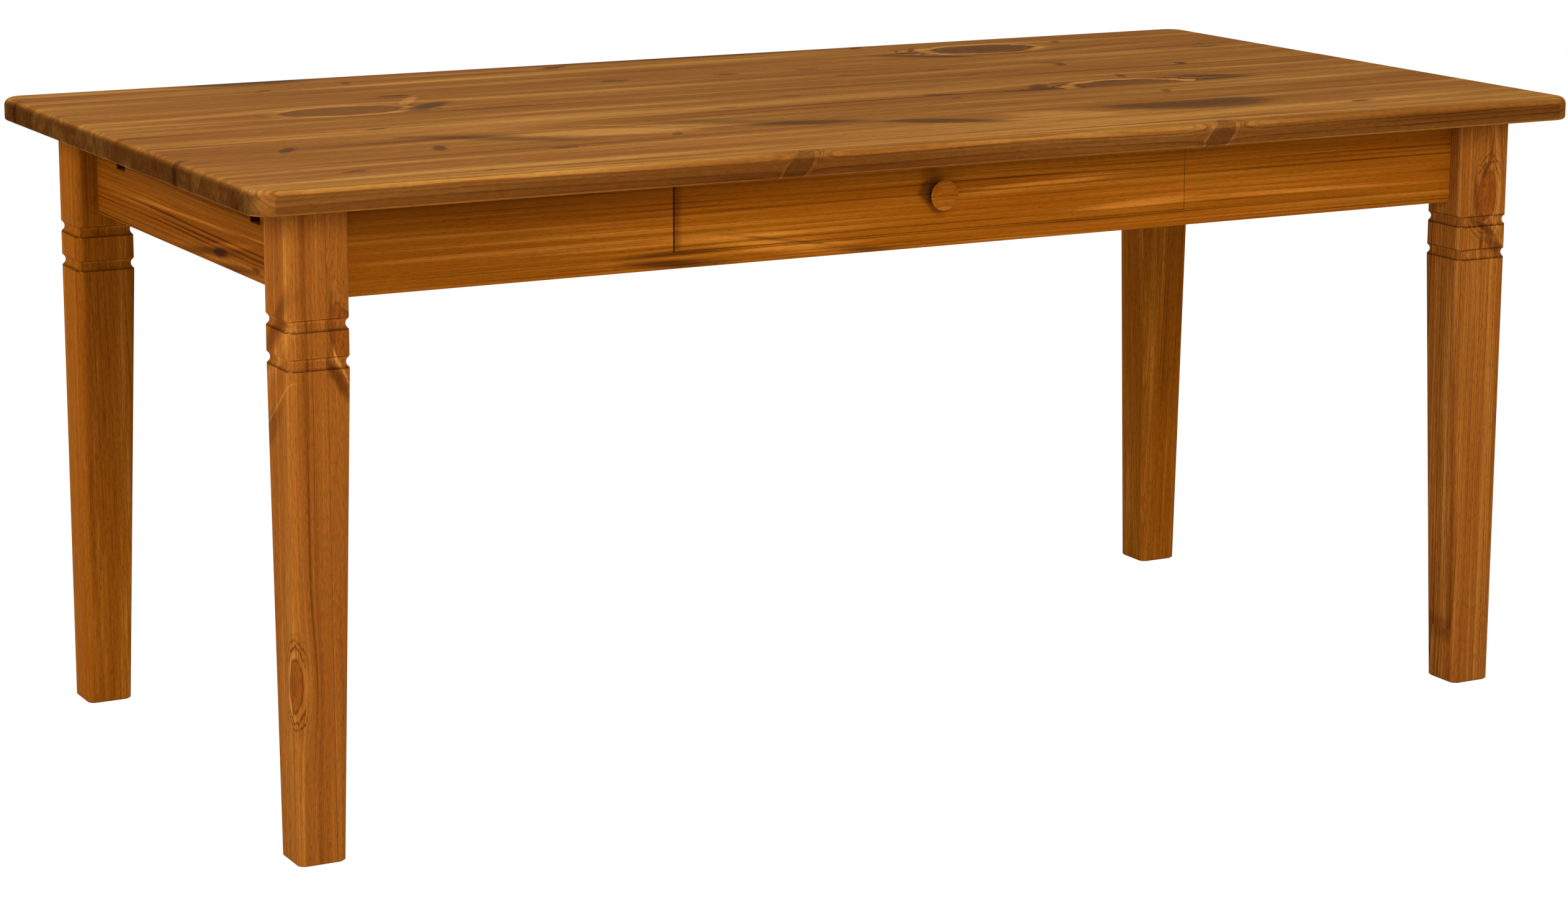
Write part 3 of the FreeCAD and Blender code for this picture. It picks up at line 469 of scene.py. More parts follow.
def addKnots(w, board, flow, wobble):
    for knot in board["knots"]:
        knot = {**knotDefaults, **knot}
        if knot["side"]:
            flow["Board"] = sideways(w, flow["Board"])
        made = w.group("pineKnot", {
            **flow, **spotValues(knot, wobble), "Push": knot["push"], "Rim": knot["rim"],
            "Halo": knot["halo"], "Tail": knot["tail"], "Side": knot["darkSide"], "Core": knot["core"]})
        flow = {key: made[key] for key in flow}
        if knot["side"]:
            flow["Board"] = sideways(w, flow["Board"])
    return flow


def boardMaterial(name, **changes):
    board = {**boardDefaults, **changes}
    finish = board["finish"]
    material, w, shader = newMaterial(name)
    axes = w.split(w.place())
    vector = w.join(*[axes[i] for i in grainAxes[board["grain"]]])
    across = w.split(vector)[1]
    seam = 0.0
    for line in board["seams"]:
        seam = w.most(seam, w.fall(w.size(w.minus(across, line)), *board["seamWidth"]))
    if board["strip"] is not None:
        beyond = w.math("GREATER_THAN", across, board["strip"])
        vector = w.vectors("ADD", vector, w.scaled(stripShift, beyond))
    broad = w.swing(vector, spotWobble["broad"], board["seed"], 3.0, 0.6)
    broad = w.times(broad, spotWobble["broadShare"])
    fine = w.times(w.swing(vector, spotWobble["fine"], board["seed"]), spotWobble["fineShare"])
    wobble = w.plus(broad, fine)
    dark, light = addPatches(w, board, vector, wobble)
    twigs = 0.0
    if board["flecks"]:
        fleck = w.group("twigFleck", {"Board": vector, "Seed": board["seed"], "Share": board["flecks"]})
        twigs = fleck["Fleck"]
    flow = addKnots(w, board, dict(Board=vector, Heart=twigs, Dark=dark, Light=light), wobble)
    rings = w.group("growthRings", {
        "Board": flow["Board"], "Heart Across": board["heart"][0], "Heart Depth": board["heart"][1],
        "Slope": board["slope"], "Ring Width": board["ringWidth"], "Wave": board["wave"],
        "Tight Start": board["tight"][0], "Tight Span": board["tight"][1],
        "Tight Width": board["tight"][2], "Seed": board["seed"]})
    fibre = w.group("pineFibre", {"Board": flow["Board"], "Slope": board["slope"],
                                  "Coarse": finish["coarse"], "Seed": board["seed"]})
    edge = w.group("wornEdge", {"Upright": board["upright"], "Level": board["level"]})
    geometry = w.tree.nodes.new("ShaderNodeNewGeometry")
    normal = w.split(geometry.outputs["Normal"])
    facing = normal[grainAxes[board["grain"]][0]]
    side = w.fall(w.size(normal[2]), *faceLimits["side"]) if board["stainedSides"] else 0.0
    # painted light: downward faces, mostly in the leg coves, are made paler in place of their shade
    paintedUnderLight = w.times(w.fall(normal[2], *faceLimits["under"]), board["paintedCoveLight"])
    look = w.group("stainedPine", {
        **{part.capitalize(): finish[part] for part in finishSockets},
        **dict(rings.items()), **dict(fibre.items()),
        "Heart": flow["Heart"], "Dark": flow["Dark"], "Light": flow["Light"],
        "End": w.rise(w.size(facing), *faceLimits["end"]), "Edge": edge["Edge"], "Seam": seam,
        "Lines": finish["lines"] * board["lines"], "Side": side, "Painted Light Below": paintedUnderLight, "Wear": finish["edge"],
        "Sheen": finish["roughness"], "Tone": board["tone"]})
    w.feed(shader["Base Color"], look["Colour"])
    w.feed(shader["Roughness"], look["Roughness"])
    w.bump(shader, look["Height"], *finish["bump"])
    shader["Specular IOR Level"].default_value = finish["gloss"]
    return material


def dress(node, material):
    mesh = cadNodes[node].data
    mesh.materials.clear()
    mesh.materials.append(material)


staveBoards = dict(
    top_stave_1=dict(
        heart=(330, 640), ringWidth=5.0, seed=11.0, slope=0.0,
        patches=[dict(at=(-555, 424), size=(95, 24), shade=1.0, soft=0.5),
                 dict(at=(-560, 410), size=(26, 3), turn=-25, glow=1.0),
                 dict(at=(-470, 432), size=(50, 4), turn=8, glow=0.8)]),
    top_stave_2=dict(
        heart=(180, 630), ringWidth=6.5, wave=1.2, seed=23.0, tight=(236, 30, 5.0),
        knots=[dict(at=(482, 338), size=(74, 41), rim=1.0, halo=0.5, darkSide=-0.9, tail=2.2)],
        patches=[dict(at=(366, 298), size=(78, 13), turn=-32, shade=1.0, soft=0.5),
                 dict(at=(380, 317), size=(54, 3.5), turn=-34, glow=1.0)]),
    top_stave_3=dict(
        heart=(270, 640), ringWidth=6.0, wave=1.6, seed=37.0,
        knots=[dict(at=(-550, 120), size=(72, 36), core=0.5, rim=0.6, halo=0.6, darkSide=0.9, tail=2.0)],
        patches=[dict(at=(-440, 116), size=(58, 17), turn=42, shade=1.0, soft=0.5),
                 dict(at=(-440, 176), size=(50, 9), turn=57, glow=1.0, soft=0.5),
                 dict(at=(-450, 212), size=(46, 6), turn=-10, shade=0.7)]),
    top_stave_4=dict(
        heart=(-160, 640), ringWidth=7.0, wave=1.4, seed=41.0,
        knots=[dict(at=(448, -80), size=(72, 36), core=0.7, rim=1.0, halo=0.9, tail=3.0)],
        patches=[dict(at=(588, -52), size=(60, 16), turn=-24, shade=1.0, soft=0.6),
                 dict(at=(328, -56), size=(34, 15), turn=55, shade=0.9, soft=0.6)]),
    top_stave_5=dict(
        heart=(-40, 640), ringWidth=6.0, seed=53.0, tight=(-249, 70, 7.0),
        patches=[dict(at=(-362, -182), size=(150, 34), turn=-22, glow=0.8, soft=0.4),
                 dict(at=(-480, -184), size=(125, 18), turn=-33, shade=0.75, soft=0.7),
                 dict(at=(-285, -156), size=(108, 3), turn=-28, glow=1.0, soft=0.4),
                 dict(at=(-170, -180), size=(120, 22), turn=-28, shade=0.6, soft=0.8),
                 dict(at=(-100, -222), size=(84, 22), turn=-14, shade=1.0, soft=0.6)]),
    top_stave_6=dict(
        heart=(-460, 640), ringWidth=7.0, seed=67.0,
        patches=[dict(at=(50, -280), size=(92, 21), turn=-27, shade=1.0, soft=0.5),
                 dict(at=(215, -292), size=(98, 36), turn=-26, glow=0.8, soft=0.6),
                 dict(at=(402, -264), size=(128, 64), turn=-10, shade=0.95, soft=0.35),
                 dict(at=(330, -392), size=(420, 2.5), turn=2.3, glow=0.9)]),
    top_stave_7=dict(
        heart=(-340, 660), ringWidth=3.0, lines=1.6, seed=71.0, slope=0.0,
        knots=[dict(at=(-230, 744), size=(24, 11), deep=30.0, turn=42, core=0.6, rim=0.7, side=True),
               dict(at=(340, 744), size=(26, 12), deep=30.0, turn=42, core=0.6, rim=0.7, side=True)],
        patches=[]))
# painted sheen: the top is made paler towards its left end; the second patch is a paler band along the front
# of the top and the upper part of its front edge
paintedSheenAndPaleBand = [dict(at=(-900, 0), size=(850, 700), glow=0.2, soft=0.9),
               dict(at=(100, -390, 760), size=(1200, 110), deep=12.0, glow=0.65, soft=0.9)]
staveDefaults = dict(slope=0.042, flecks=0.26, stainedSides=True)


def dressTop():
    for node, board in staveBoards.items():
        low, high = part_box(node)
        for spot in board.get("knots", []) + board.get("patches", []):
            if spot.get("side"):
                spot["at"] = (*spot["at"], perMetre * low.y)
        edges = [perMetre * low.y, perMetre * high.y]
        board = {**staveDefaults, **board, "patches": paintedSheenAndPaleBand + board["patches"]}
        material = boardMaterial(node.replace("top", "honeyPine"), finish=topFinish, seams=edges, **board)
        dress(node, material)
    print("table top dressed,", len(staveBoards), "staves")


dressTop()


frontBoard = dict(
    grain="frontBoard", heart=(1900, 300), ringWidth=6.0, wave=0.8, tight=(694, 38, 3.2), seed=5.0, tone=0.93,
    patches=[dict(at=(-600, 690), size=(270, 90), shade=0.5, soft=0.9),
             dict(at=(-560, 660), size=(230, 2.2), glow=0.9, soft=0.8),
             dict(at=(-290, 658), size=(120, 3.0), turn=-1, glow=0.8, soft=0.8),
             dict(at=(280, 657), size=(90, 5), turn=2, glow=0.9, soft=0.8),
             dict(at=(560, 655), size=(220, 3), turn=-1, glow=0.8, soft=0.8),
             dict(at=(150, 690), size=(120, 5), turn=3, glow=0.7, soft=0.8),
             dict(at=(-190, 640), size=(110, 9), turn=-5, glow=0.9, soft=0.8),
             dict(at=(-200, 647), size=(95, 2.0), turn=-9, shade=0.7, soft=0.8),
             dict(at=(-350, 643), size=(85, 4), turn=1, shade=1.0, soft=0.9),
             dict(at=(-345, 631), size=(80, 6), turn=-3, shade=1.15, soft=0.8),
             dict(at=(-95, 629), size=(62, 5), turn=-6, shade=0.85, soft=0.9),
             dict(at=(-590, 639), size=(190, 2.2), shade=0.7, soft=0.9),
             dict(at=(180, 641), size=(200, 2.0), shade=0.25, soft=0.9),
             dict(at=(560, 640), size=(210, 1.8), turn=0.5, shade=0.25, soft=0.9)])
# painted shade on the drawer front and knob: a dark strip beside the left seam, the knob's painted shadow
# above it, and painted shade at the knob's base and on the upper left of its rim
drawerPaintedShade = [dict(at=(-345, 690), size=(10, 90), shade=0.9, soft=0.9),
               dict(at=(-12, 713), size=(15, 12), shade=0.5, soft=0.9),
               dict(at=(-8, 692, -366), size=(20, 19), deep=9.0, shade=0.95, soft=0.35),
               dict(at=(-11, 699, -372), size=(15, 12), deep=8.0, turn=-40, shade=0.8, soft=0.8)]
slotShadows = [dict(at=(side * 227, 725, end * 779), size=(22, 50), deep=13.0, shade=1.6, soft=0.1)
               for side in (-1, 1) for end in (-1, 1)]
endBoard = dict(
    grain="endBoard", heart=(1700, -500), ringWidth=6.0, wave=1.2, tone=0.7, seed=9.0,
    patches=[*slotShadows,
             dict(at=(-112, 641), size=(36, 7), turn=-6, shade=1.5, soft=0.7),
             dict(at=(-80, 638), size=(100, 6), turn=-6, shade=1.0, soft=0.8),
             dict(at=(-180, 631), size=(80, 4), turn=-2, shade=1.0, soft=0.8),
             dict(at=(-226, 637), size=(16, 4), shade=0.9),
             dict(at=(120, 636), size=(260, 2.0), shade=0.6, soft=0.9),
             dict(at=(0, 667), size=(330, 2.2), turn=-1, glow=0.8, soft=0.8),
             dict(at=(-140, 652), size=(90, 4), turn=-8, glow=0.8, soft=0.8),
             dict(at=(200, 660), size=(120, 5), turn=1, glow=0.7, soft=0.8)])


def dressAprons():
    dress("apron_front", boardMaterial("honeyPineFront", **frontBoard))
    drawerPatches = frontBoard["patches"] + drawerPaintedShade
    drawerFront = boardMaterial("honeyPineDrawer", **{**frontBoard, "patches": drawerPatches})
    for node in ("drawer_front", "knob"):
        dress(node, drawerFront)
    dress("apron_back", boardMaterial("honeyPineBack", **{**frontBoard, "seed": 17.0, "patches": []}))
    dress("apron_end_left", boardMaterial("honeyPineLeft", **endBoard))
    dress("apron_end_right", boardMaterial("honeyPineRight", **{
        **endBoard, "seed": 29.0, "patches": slotShadows}))
    print("aprons dressed")


dressAprons()


legBoards = dict(
    leg_front_left=dict(
        heart=(-1300, -160), ringWidth=2.6, seed=3.0, strip=-775.0, seams=[-775.0], paintedCoveLight=1.5,
        lines=0.7,
        knots=[dict(at=(590, -756, -390), size=(36, 15), deep=30.0, turn=-14, core=0.95, rim=0.6, halo=0.1,
                    darkSide=-0.5, strip=1),
               dict(at=(206, -823, -390), size=(31, 12), deep=16.0, rim=1.0, halo=0.35, tail=2.8)],
        patches=[dict(at=(206, -823, -390), size=(20, 7), deep=16.0, shade=0.8),
                 dict(at=(544, -764, -390), size=(33, 7), deep=24.0, turn=-29, shade=1.2, strip=1),
                 dict(at=(556, -760, -390), size=(26, 1.9), deep=24.0, turn=-26, glow=1.0, soft=0.4, strip=1),
                 dict(at=(602, -770, -390), size=(40, 4), deep=24.0, shade=1.0, strip=1),
                 dict(at=(613, -752, -390), size=(12, 3.2), deep=24.0, turn=-45, shade=1.3, strip=1),
                 dict(at=(620, -755, -390), size=(9, 2.0), deep=24.0, turn=-40, glow=0.9, strip=1),
                 dict(at=(598, -352, -820), size=(62, 13), deep=30.0, turn=-42, shade=0.85, side=True),
                 dict(at=(572, -362, -820), size=(52, 11), deep=30.0, turn=-42, glow=0.6, side=True),
                 dict(at=(509, -351, -820), size=(56, 1.6), deep=30.0, turn=-50, glow=0.8, soft=0.4,
                      side=True),
                 dict(at=(478, -330, -820), size=(50, 14), deep=30.0, turn=-45, shade=0.7, side=True)]),
    leg_front_right=dict(
        heart=(600, -200), ringWidth=2.8, seed=7.0, lines=2.0, seams=[761.0], strip=761.0, paintedCoveLight=0.3,
        knots=[dict(at=(632, 785, -390), size=(32, 14), deep=30.0, turn=6, core=0.95, rim=0.8, halo=0.2,
                    strip=1)],
        patches=[dict(at=(630, 769, -390), size=(34, 5), deep=30.0, turn=-3, shade=1.0, strip=1),
                 dict(at=(593, 785, -390), size=(29, 6), deep=30.0, turn=-55, shade=1.2, soft=0.7, strip=1),
                 dict(at=(570, 800, -390), size=(24, 9), deep=30.0, turn=-48, shade=1.1, soft=0.8, strip=1),
                 dict(at=(580, 806, -390), size=(22, 2.5), deep=30.0, turn=-40, glow=0.9, strip=1),
                 dict(at=(604, 799, -390), size=(18, 3), deep=30.0, turn=-30, glow=0.7, strip=1),
                 dict(at=(666, 783, -390), size=(17, 4), deep=30.0, turn=24, shade=1.2, strip=1)]),
    leg_back_left=dict(
        heart=(-1300, 900), ringWidth=3.0, seed=13.0,
        # painted shade: the whole front face of this leg is darkened for the shade under the table top
        patches=[dict(at=(300, -785, 317), size=(900, 90), deep=14.0, shade=0.45, soft=0.9)]),
    leg_back_right=dict(heart=(1500, 900), ringWidth=3.0, seed=19.0))


# painted light is added in the coves of every leg
legDefaults = dict(grain="z", upright=1.0, level=0.0, paintedCoveLight=0.8)


def dressLegs():
    for node, board in legBoards.items():
        finish = backLegFinish if "back" in node else legFinish
        board = {**legDefaults, **board}
        material = boardMaterial(node.replace("leg", "honeyPine"), finish=finish, **board)
        dress(node, material)
    print("legs dressed")


dressLegs()


steel = dict(
    colour=(0.62, 0.63, 0.65, 1), dull=(0.40, 0.40, 0.41, 1), bright=(0.8, 0.8, 0.8, 1), roughness=0.34,
    spread=0.3, patchSize=(5, 5, 5), patchEdge=(0.4, 0.7), patchShare=0.6, spangle=0.9, spangleShare=0.4,
    edge=0.6, wear=0.4, scratchSize=(0.5, 0.5, 0.5), bump=(0.25, 0.0002))
hardboard = dict(
    pale=(0.23, 0.125, 0.06, 1), deep=(0.12, 0.06, 0.028, 1), roughness=0.55, spread=0.3, gloss=0.05,
    fibreSize=(1.6, 1.6, 1.6), fibreShare=0.6, cloudSize=(45, 45, 45), cloudShare=0.4,
    toneEdge=(0.35, 0.65), bump=(0.4, 0.0003))
beech = dict(
    pale=(0.62, 0.43, 0.27, 1), deep=(0.45, 0.27, 0.15, 1), roughness=0.6, spread=0.3, gloss=0.05,
    grainSize=(6, 6, 1.2), grainEdge=(0.3, 0.7), fleckSize=(1.4, 1.4, 0.4), fleckEdge=(0.6, 0.72),
    fleckShare=0.5, edge=0.5, wear=0.3, bump=(0.4, 0.0003))
insideFinish = dict(
    hardboard=["drawer_bottom"],
    beech=["apron_dowels", "rail_dowels", "drawer_dowels"],
    steel=["hanger_bolts", "bolt_washers", "bolt_nuts", "block_screws", "bracket_screws", "top_rail_screws",
           "bottom_nails", "out_stop_screws", "knob_screw", "knob_washer", "angle_brackets"])


def steelMaterial():  # bright zinc with a slight crystal pattern, duller in patches
    material, w, shader = newMaterial("zincSteel")
    place = w.place()
    patches = w.rise(w.noise(w.stretch(place, steel["patchSize"]), 3.0, 0.6), *steel["patchEdge"])
    spangle = w.add("ShaderNodeTexVoronoi", {"Vector": place, "Scale": steel["spangle"]}, 1)
    grey = w.times(w.split(spangle)[0], steel["spangleShare"])
    colour = w.mix(w.times(patches, steel["patchShare"]), steel["colour"], steel["dull"])
    edge = w.group("wornEdge", {"Upright": steel["edge"], "Level": steel["edge"]})["Edge"]
    w.feed(shader["Base Color"], w.mix(w.times(edge, steel["wear"]), colour, steel["bright"]))
    rough = w.plus(steel["roughness"], w.times(w.plus(grey, patches), steel["spread"]))
    w.feed(shader["Roughness"], rough)
    shader["Metallic"].default_value = 1.0
    scratches = w.noise(w.stretch(place, steel["scratchSize"]), 2.0, 0.6)
    w.bump(shader, scratches, *steel["bump"])
    return material


def hardboardMaterial():  # pressed fibres, smooth on top
    material, w, shader = newMaterial("hardboard")
    place = w.place()
    fibres = w.noise(w.stretch(place, hardboard["fibreSize"]), 4.0, 0.7)
    clouds = w.noise(w.stretch(place, hardboard["cloudSize"]), 3.0, 0.5)
    tone = w.plus(w.times(fibres, hardboard["fibreShare"]), w.times(clouds, hardboard["cloudShare"]))
    tone = w.rise(tone, *hardboard["toneEdge"])
    w.feed(shader["Base Color"], w.mix(tone, hardboard["deep"], hardboard["pale"]))
    rough = w.times(w.minus(fibres, 0.5), hardboard["spread"])
    w.feed(shader["Roughness"], w.plus(hardboard["roughness"], rough))
    shader["Specular IOR Level"].default_value = hardboard["gloss"]
    w.bump(shader, fibres, *hardboard["bump"])
    return material


def beechMaterial():  # close-grained, with short dark flecks
    material, w, shader = newMaterial("beech")
    place = w.place()
    grain = w.noise(w.stretch(place, beech["grainSize"]), 3.0, 0.6)
    flecks = w.rise(w.noise(w.stretch(place, beech["fleckSize"]), 1.0), *beech["fleckEdge"])
    colour = w.mix(w.rise(grain, *beech["grainEdge"]), beech["deep"], beech["pale"])
    edge = w.group("wornEdge", {"Upright": beech["edge"], "Level": beech["edge"]})["Edge"]
    colour = w.mix(w.times(flecks, beech["fleckShare"]), colour, beech["deep"])
    w.feed(shader["Base Color"], w.mix(w.times(edge, beech["wear"]), colour, beech["pale"]))
    rough = w.times(w.minus(grain, 0.5), beech["spread"])
    w.feed(shader["Roughness"], w.plus(beech["roughness"], rough))
    shader["Specular IOR Level"].default_value = beech["gloss"]
    w.bump(shader, grain, *beech["bump"])
    return material


def dressInside():
    makers = dict(hardboard=hardboardMaterial, beech=beechMaterial, steel=steelMaterial)
    dressed = set(staveBoards) | set(legBoards) | {
        "apron_front", "apron_back", "apron_end_left", "apron_end_right", "drawer_front", "knob"}
    for finish, nodes in insideFinish.items():
        material = makers[finish]()
        for node in nodes:
            dress(node, material)
            dressed.add(node)
    seed = 31.0
    for node in sorted(set(cadNodes) - dressed):
        low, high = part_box(node)
        grain = "x" if high.x - low.x > high.y - low.y else "y"
        seed += 2.0
        stainedWithPaintedShade = node.startswith("cross_rail")  # these show through the slots for the leaf rails, so they get the honey stain at half tone as painted shade for the dark inside of the slots
        dress(node, boardMaterial("innerPine_" + node, finish=honeyFinish if stainedWithPaintedShade else plainFinish,
                                  tone=0.5 if stainedWithPaintedShade else 1.0, grain=grain, seed=seed))
    print("inside dressed")


dressInside()


screw = {"Head Diameter": 0.008, "Head Height": 0.0024, "Shank Diameter": 0.004, "Core Diameter": 0.0028,
         "Pitch": 0.0018, "Point": 0.005, "Recess": 0.0052, "Recess Depth": 0.0013, "Arm Inside": 0.0002,
         "Arm Outside": 0.0005, "Neck Start": 0.001, "Neck End": 0.003, "Head Curve": 0.8,
         "Dome Curve": 0.5, "Tip Curve": 0.7, "Weld": 0.000002, "Segments": 24, "Head Rows": 16,
         "Turn Rows": 4, "Seed": 4}
screwSets = dict(
    blockScrews=("block_screws", "table"), bracketScrews=("bracket_screws", "table"),
    topRailScrews=("top_rail_screws", "table"), outStopScrews=("out_stop_screws", "drawer"))


def makeScrewTree():  # a pan head with a crossed recess and a threaded shank, set on every point
    kinds = {name: ("whole" if isinstance(size, int) else "value", size) for name, size in screw.items()}
    inputs = {"Points": ("mesh", None), "Length": ("value", 0.03), **kinds, "Material": ("material", None)}
    w, entry, leave = newGroup("panHeadScrews", inputs, {"Screws": "mesh"}, "GeometryNodeTree")
    turns = w.over(entry["Length"], entry["Pitch"])
    turnRows = w.times(turns, entry["Turn Rows"])
    rows = w.math("ROUND", w.plus(w.plus(entry["Head Rows"], 3.0), turnRows))
    grid = w.add("GeometryNodeMeshGrid", {
        "Size X": 1.0, "Size Y": 1.0, "Vertices X": w.plus(entry["Segments"], 1.0), "Vertices Y": rows})
    x, y, z = w.split(w.add("GeometryNodeInputPosition"))
    angle = w.times(w.plus(x, 0.5), 2 * pi)
    row = w.times(w.plus(y, 0.5), w.minus(rows, 1.0))
    headPart = w.math("DIVIDE", row, entry["Head Rows"], clamp=True)
    bend = w.times(headPart, pi / 2)
    bulge = w.math("POWER", w.math("SINE", bend), entry["Head Curve"])
    headRadius = w.times(bulge, w.over(entry["Head Diameter"], 2.0))
    dome = w.math("POWER", w.most(w.math("COSINE", bend), 0.0), entry["Dome Curve"])
    across = w.size(w.times(headRadius, w.math("COSINE", angle)))
    along = w.size(w.times(headRadius, w.math("SINE", angle)))
    arm = w.fall(w.math("MINIMUM", across, along), entry["Arm Inside"], entry["Arm Outside"])
    arm = w.times(arm, w.fall(headRadius, w.times(entry["Recess"], 0.3), w.times(entry["Recess"], 0.5)))
    headTop = w.minus(w.times(dome, entry["Head Height"]), w.times(arm, entry["Recess Depth"]))
    shankRow = w.minus(row, w.plus(entry["Head Rows"], 1.0))
    shankRows = w.minus(rows, w.plus(entry["Head Rows"], 2.0))
    drop = w.times(w.math("DIVIDE", shankRow, shankRows, clamp=True), entry["Length"])
    wave = w.math("SINE", w.plus(w.times(w.over(drop, entry["Pitch"]), 2 * pi), angle))
    neck = w.fall(drop, entry["Neck Start"], entry["Neck End"])
    thread = w.most(w.plus(w.times(wave, 0.5), 0.5), neck)
    radius = w.plus(entry["Core Diameter"], w.times(
        w.minus(entry["Shank Diameter"], entry["Core Diameter"]), thread))
    taper = w.math("DIVIDE", w.minus(entry["Length"], drop), entry["Point"], clamp=True)
    shankRadius = w.times(w.over(radius, 2.0), w.math("POWER", taper, entry["Tip Curve"]))
    onShank = w.rise(w.minus(row, entry["Head Rows"]), 0.4, 0.6)
    radius = w.plus(w.times(headRadius, w.minus(1.0, onShank)), w.times(shankRadius, onShank))
    height = w.minus(w.times(headTop, w.minus(1.0, onShank)), w.times(drop, onShank))
    place = w.join(w.times(radius, w.math("COSINE", angle)), w.times(radius, w.math("SINE", angle)), height)
    shape = w.add("GeometryNodeSetPosition", {"Geometry": grid, "Position": place})
    shape = w.add("GeometryNodeMergeByDistance", {"Geometry": shape, "Distance": entry["Weld"]})
    headward = w.add("GeometryNodeInputNamedAttribute", {"Name": "headward"}, data_type="FLOAT_VECTOR")
    upright = w.add("FunctionNodeAlignRotationToVector", {"Vector": headward}, axis="Z")
    screws = w.add("GeometryNodeInstanceOnPoints", {
        "Points": entry["Points"], "Instance": shape, "Rotation": upright})
    chance = w.add("FunctionNodeRandomValue", {2: 0.0, 3: 2 * pi, "Seed": entry["Seed"]}, 1,
                   data_type="FLOAT")
    spin = w.add("FunctionNodeAxisAngleToRotation", {"Axis": (0, 0, 1), "Angle": chance})
    screws = w.add("GeometryNodeRotateInstances", {"Instances": screws, "Rotation": spin})
    screws = w.add("GeometryNodeRealizeInstances", {"Geometry": screws})
    w.feed(leave["Screws"], w.add("GeometryNodeSetMaterial", {
        "Geometry": screws, "Material": entry["Material"]}))
    return w.tree


screwFit = dict(weld=0.000001, endDepth=0.0003, passes=4, sharpAngle=40)


def looseParts(node):  # the corner points of each separate solid in a CAD node
    copy = bmesh.new()
    copy.from_mesh(cadNodes[node].data)
    bmesh.ops.remove_doubles(copy, verts=copy.verts, dist=screwFit["weld"])
    done, parts = set(), []
    for first in copy.verts:
        waiting, part = [first], []
        while waiting:
            corner = waiting.pop()
            if corner not in done:
                done.add(corner)
                part.append(corner.co.copy())
                waiting += [edge.other_vert(corner) for edge in corner.link_edges]
        if part:
            parts.append(part)
    copy.free()
    return parts


def middle(points):
    return sum(points, Vector()) / len(points)


def screwPlace(points):  # the middle of its head's top, the way the head faces, and its whole length
    centre = middle(points)
    tip = max(points, key=lambda point: (point - centre).length)
    facing = (centre - tip).normalized()
    reach = screwFit["endDepth"]
    for step in range(screwFit["passes"]):  # each pass sets the axis straighter
        heights = [point.dot(facing) for point in points]
        low, high = min(heights), max(heights)
        top = middle([point for point, height in zip(points, heights) if height > high - reach])
        tip = middle([point for point, height in zip(points, heights) if height < low + reach])
        facing = (top - tip).normalized()
    return tip + facing * (high - low), facing, high - low


def makeScrews(tree, name, node, body):
    places = [screwPlace(part) for part in looseParts(node)]
    points = bpy.data.meshes.new(name)
    points.from_pydata([top - facing * screw["Head Height"] for top, facing, length in places], [], [])
    headward = points.attributes.new("headward", "FLOAT_VECTOR", "POINT")
    for entry, (top, facing, length) in zip(headward.data, places):
        entry.vector = facing
    piece = bpy.data.objects.new(name, points)
    bpy.context.scene.collection.objects.link(piece)
    modifier = piece.modifiers.new("screws", "NODES")
    modifier.node_group = tree
    sockets = {item.name: item.identifier for item in tree.interface.items_tree if item.in_out == "INPUT"}
    modifier[sockets["Length"]] = places[0][2] - screw["Head Height"]
    modifier[sockets["Material"]] = bpy.data.materials["zincSteel"]
    for size, value in screw.items():
        modifier[sockets[size]] = value
    graph = bpy.context.evaluated_depsgraph_get()
    solid = bpy.data.meshes.new_from_object(piece.evaluated_get(graph), depsgraph=graph)
    piece.modifiers.clear()
    piece.data = solid
    shell = bmesh.new()
    shell.from_mesh(solid)
    bmesh.ops.recalc_face_normals(shell, faces=shell.faces)
    shell.to_mesh(solid)
    shell.free()
    solid.shade_smooth()
    solid.set_sharp_from_angle(angle=radians(screwFit["sharpAngle"]))
    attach(piece, body)
    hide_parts(node)
    print(name, "set,", len(places), "screws,", len(solid.polygons), "faces")


screwTree = makeScrewTree()
for name, (node, body) in screwSets.items():
    makeScrews(screwTree, name, node, body)


studio = dict(
    floorSize=60.0, floorColour=(0.8, 0.8, 0.8, 1), floorRoughness=0.8, floorGlow=0.88, floorWhite=1.08,
    skyColour=(1.0, 0.99, 0.97, 1), skyStrength=0.45,
    lamps=dict(
        front=dict(place=(-0.8, -4.3, 2.5), size=2.4, power=145.0, colour=(1.0, 0.98, 0.95)),
        left=dict(place=(-4.2, -0.3, 2.6), size=2.0, power=120.0, colour=(1.0, 0.98, 0.95)),
        back=dict(place=(0.8, 3.8, 3.4), size=3.0, power=60.0, colour=(0.98, 0.99, 1.0)),
        right=dict(place=(4.2, 0.6, 3.0), size=2.4, power=40.0, colour=(0.98, 0.99, 1.0))),
    target=(0.0, 0.0, 0.45))
camera = dict(
    frameWidth=2526, focalPixels=6189.1, sensor=36.0, shiftY=-0.05, yaw=28.38, pitch=11.36, roll=0.225,
    place=(-2.2664, -4.1803, 1.3637))


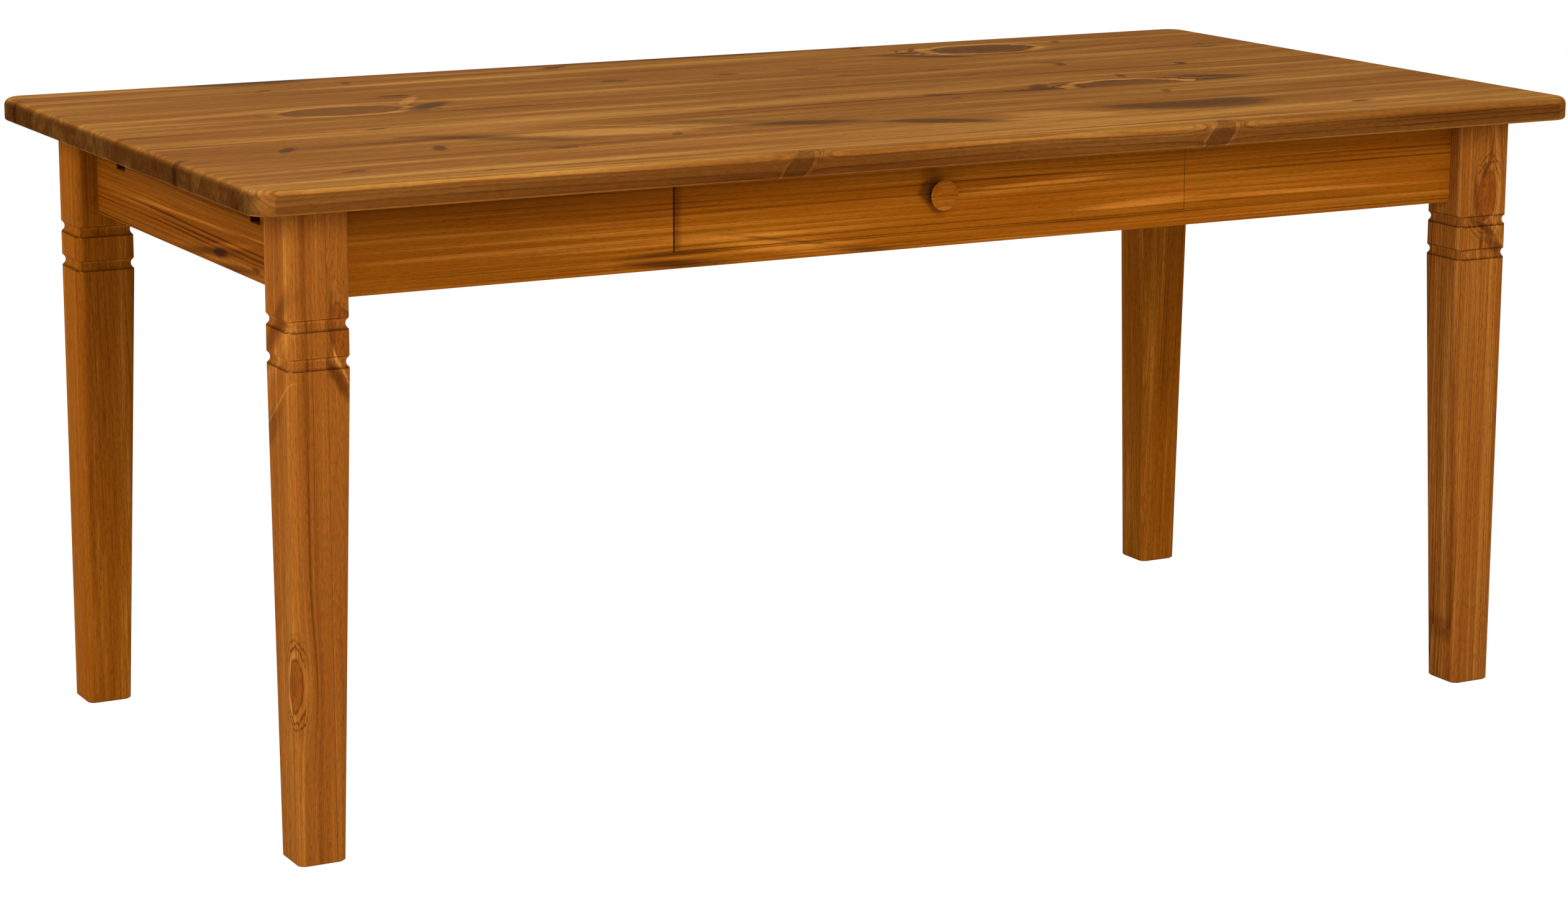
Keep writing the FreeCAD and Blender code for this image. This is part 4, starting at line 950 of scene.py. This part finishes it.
def makeFloor():
    half = studio["floorSize"] / 2
    corners = [(-half, -half, 0), (half, -half, 0), (half, half, 0), (-half, half, 0)]
    mesh = bpy.data.meshes.new("floor")
    mesh.from_pydata(corners, [], [(0, 1, 2, 3)])
    floor = bpy.data.objects.new("floor", mesh)
    bpy.context.scene.collection.objects.link(floor)
    material, w, shader = newMaterial("studioFloor")
    nodes = w.tree.nodes
    w.feed(shader["Base Color"], studio["floorColour"])
    w.feed(shader["Roughness"], studio["floorRoughness"])
    shader["Specular IOR Level"].default_value = 0.0
    glow = w.add("ShaderNodeEmission", {"Color": (1, 1, 1, 1), "Strength": studio["floorWhite"]})
    lit = w.add("ShaderNodeMixShader", {0: w.times(w.seen(), studio["floorGlow"]),
                                        1: nodes["Principled BSDF"].outputs[0], 2: glow})
    below = w.add("ShaderNodeNewGeometry", output="Backfacing")
    clear = w.add("ShaderNodeBsdfTransparent")
    shown = w.add("ShaderNodeMixShader", {0: below, 1: lit, 2: clear})
    w.feed(nodes["Material Output"].inputs["Surface"], shown)
    mesh.materials.append(material)


def makeSky():
    world = bpy.data.worlds.new("studioSky")
    world.use_nodes = True
    bpy.context.scene.world = world
    w = Wiring(world.node_tree)
    seen = w.seen()
    ground = world.node_tree.nodes["Background"].inputs
    w.feed(ground["Color"], w.mix(seen, studio["skyColour"], (1, 1, 1, 1)))
    w.feed(ground["Strength"], w.rise(seen, 0.0, 1.0, studio["skyStrength"], 1.0))


def makeLamps():
    for name, lamp in studio["lamps"].items():
        light = bpy.data.lights.new(name, "AREA")
        light.shape, light.size = "DISK", lamp["size"]
        light.energy, light.color = lamp["power"], lamp["colour"]
        holder = bpy.data.objects.new(name, light)
        holder.location = lamp["place"]
        aim = Vector(studio["target"]) - Vector(lamp["place"])
        holder.rotation_euler = aim.to_track_quat("-Z", "Y").to_euler()
        bpy.context.scene.collection.objects.link(holder)


def makeCamera():
    eye = bpy.data.objects.new("camera", bpy.data.cameras.new("camera"))
    eye.data.lens = camera["focalPixels"] * camera["sensor"] / camera["frameWidth"]
    eye.data.sensor_width, eye.data.shift_y = camera["sensor"], camera["shiftY"]
    turn = Euler((radians(90 - camera["pitch"]), 0, radians(-camera["yaw"]))).to_matrix()
    eye.rotation_euler = (turn @ Matrix.Rotation(radians(camera["roll"]), 3, "Z")).to_euler()
    eye.location = camera["place"]
    bpy.context.scene.collection.objects.link(eye)
    bpy.context.scene.camera = eye


makeFloor()
makeSky()
makeLamps()
makeCamera()
bpy.context.scene.view_settings.view_transform = "Standard"
print("studio ready")
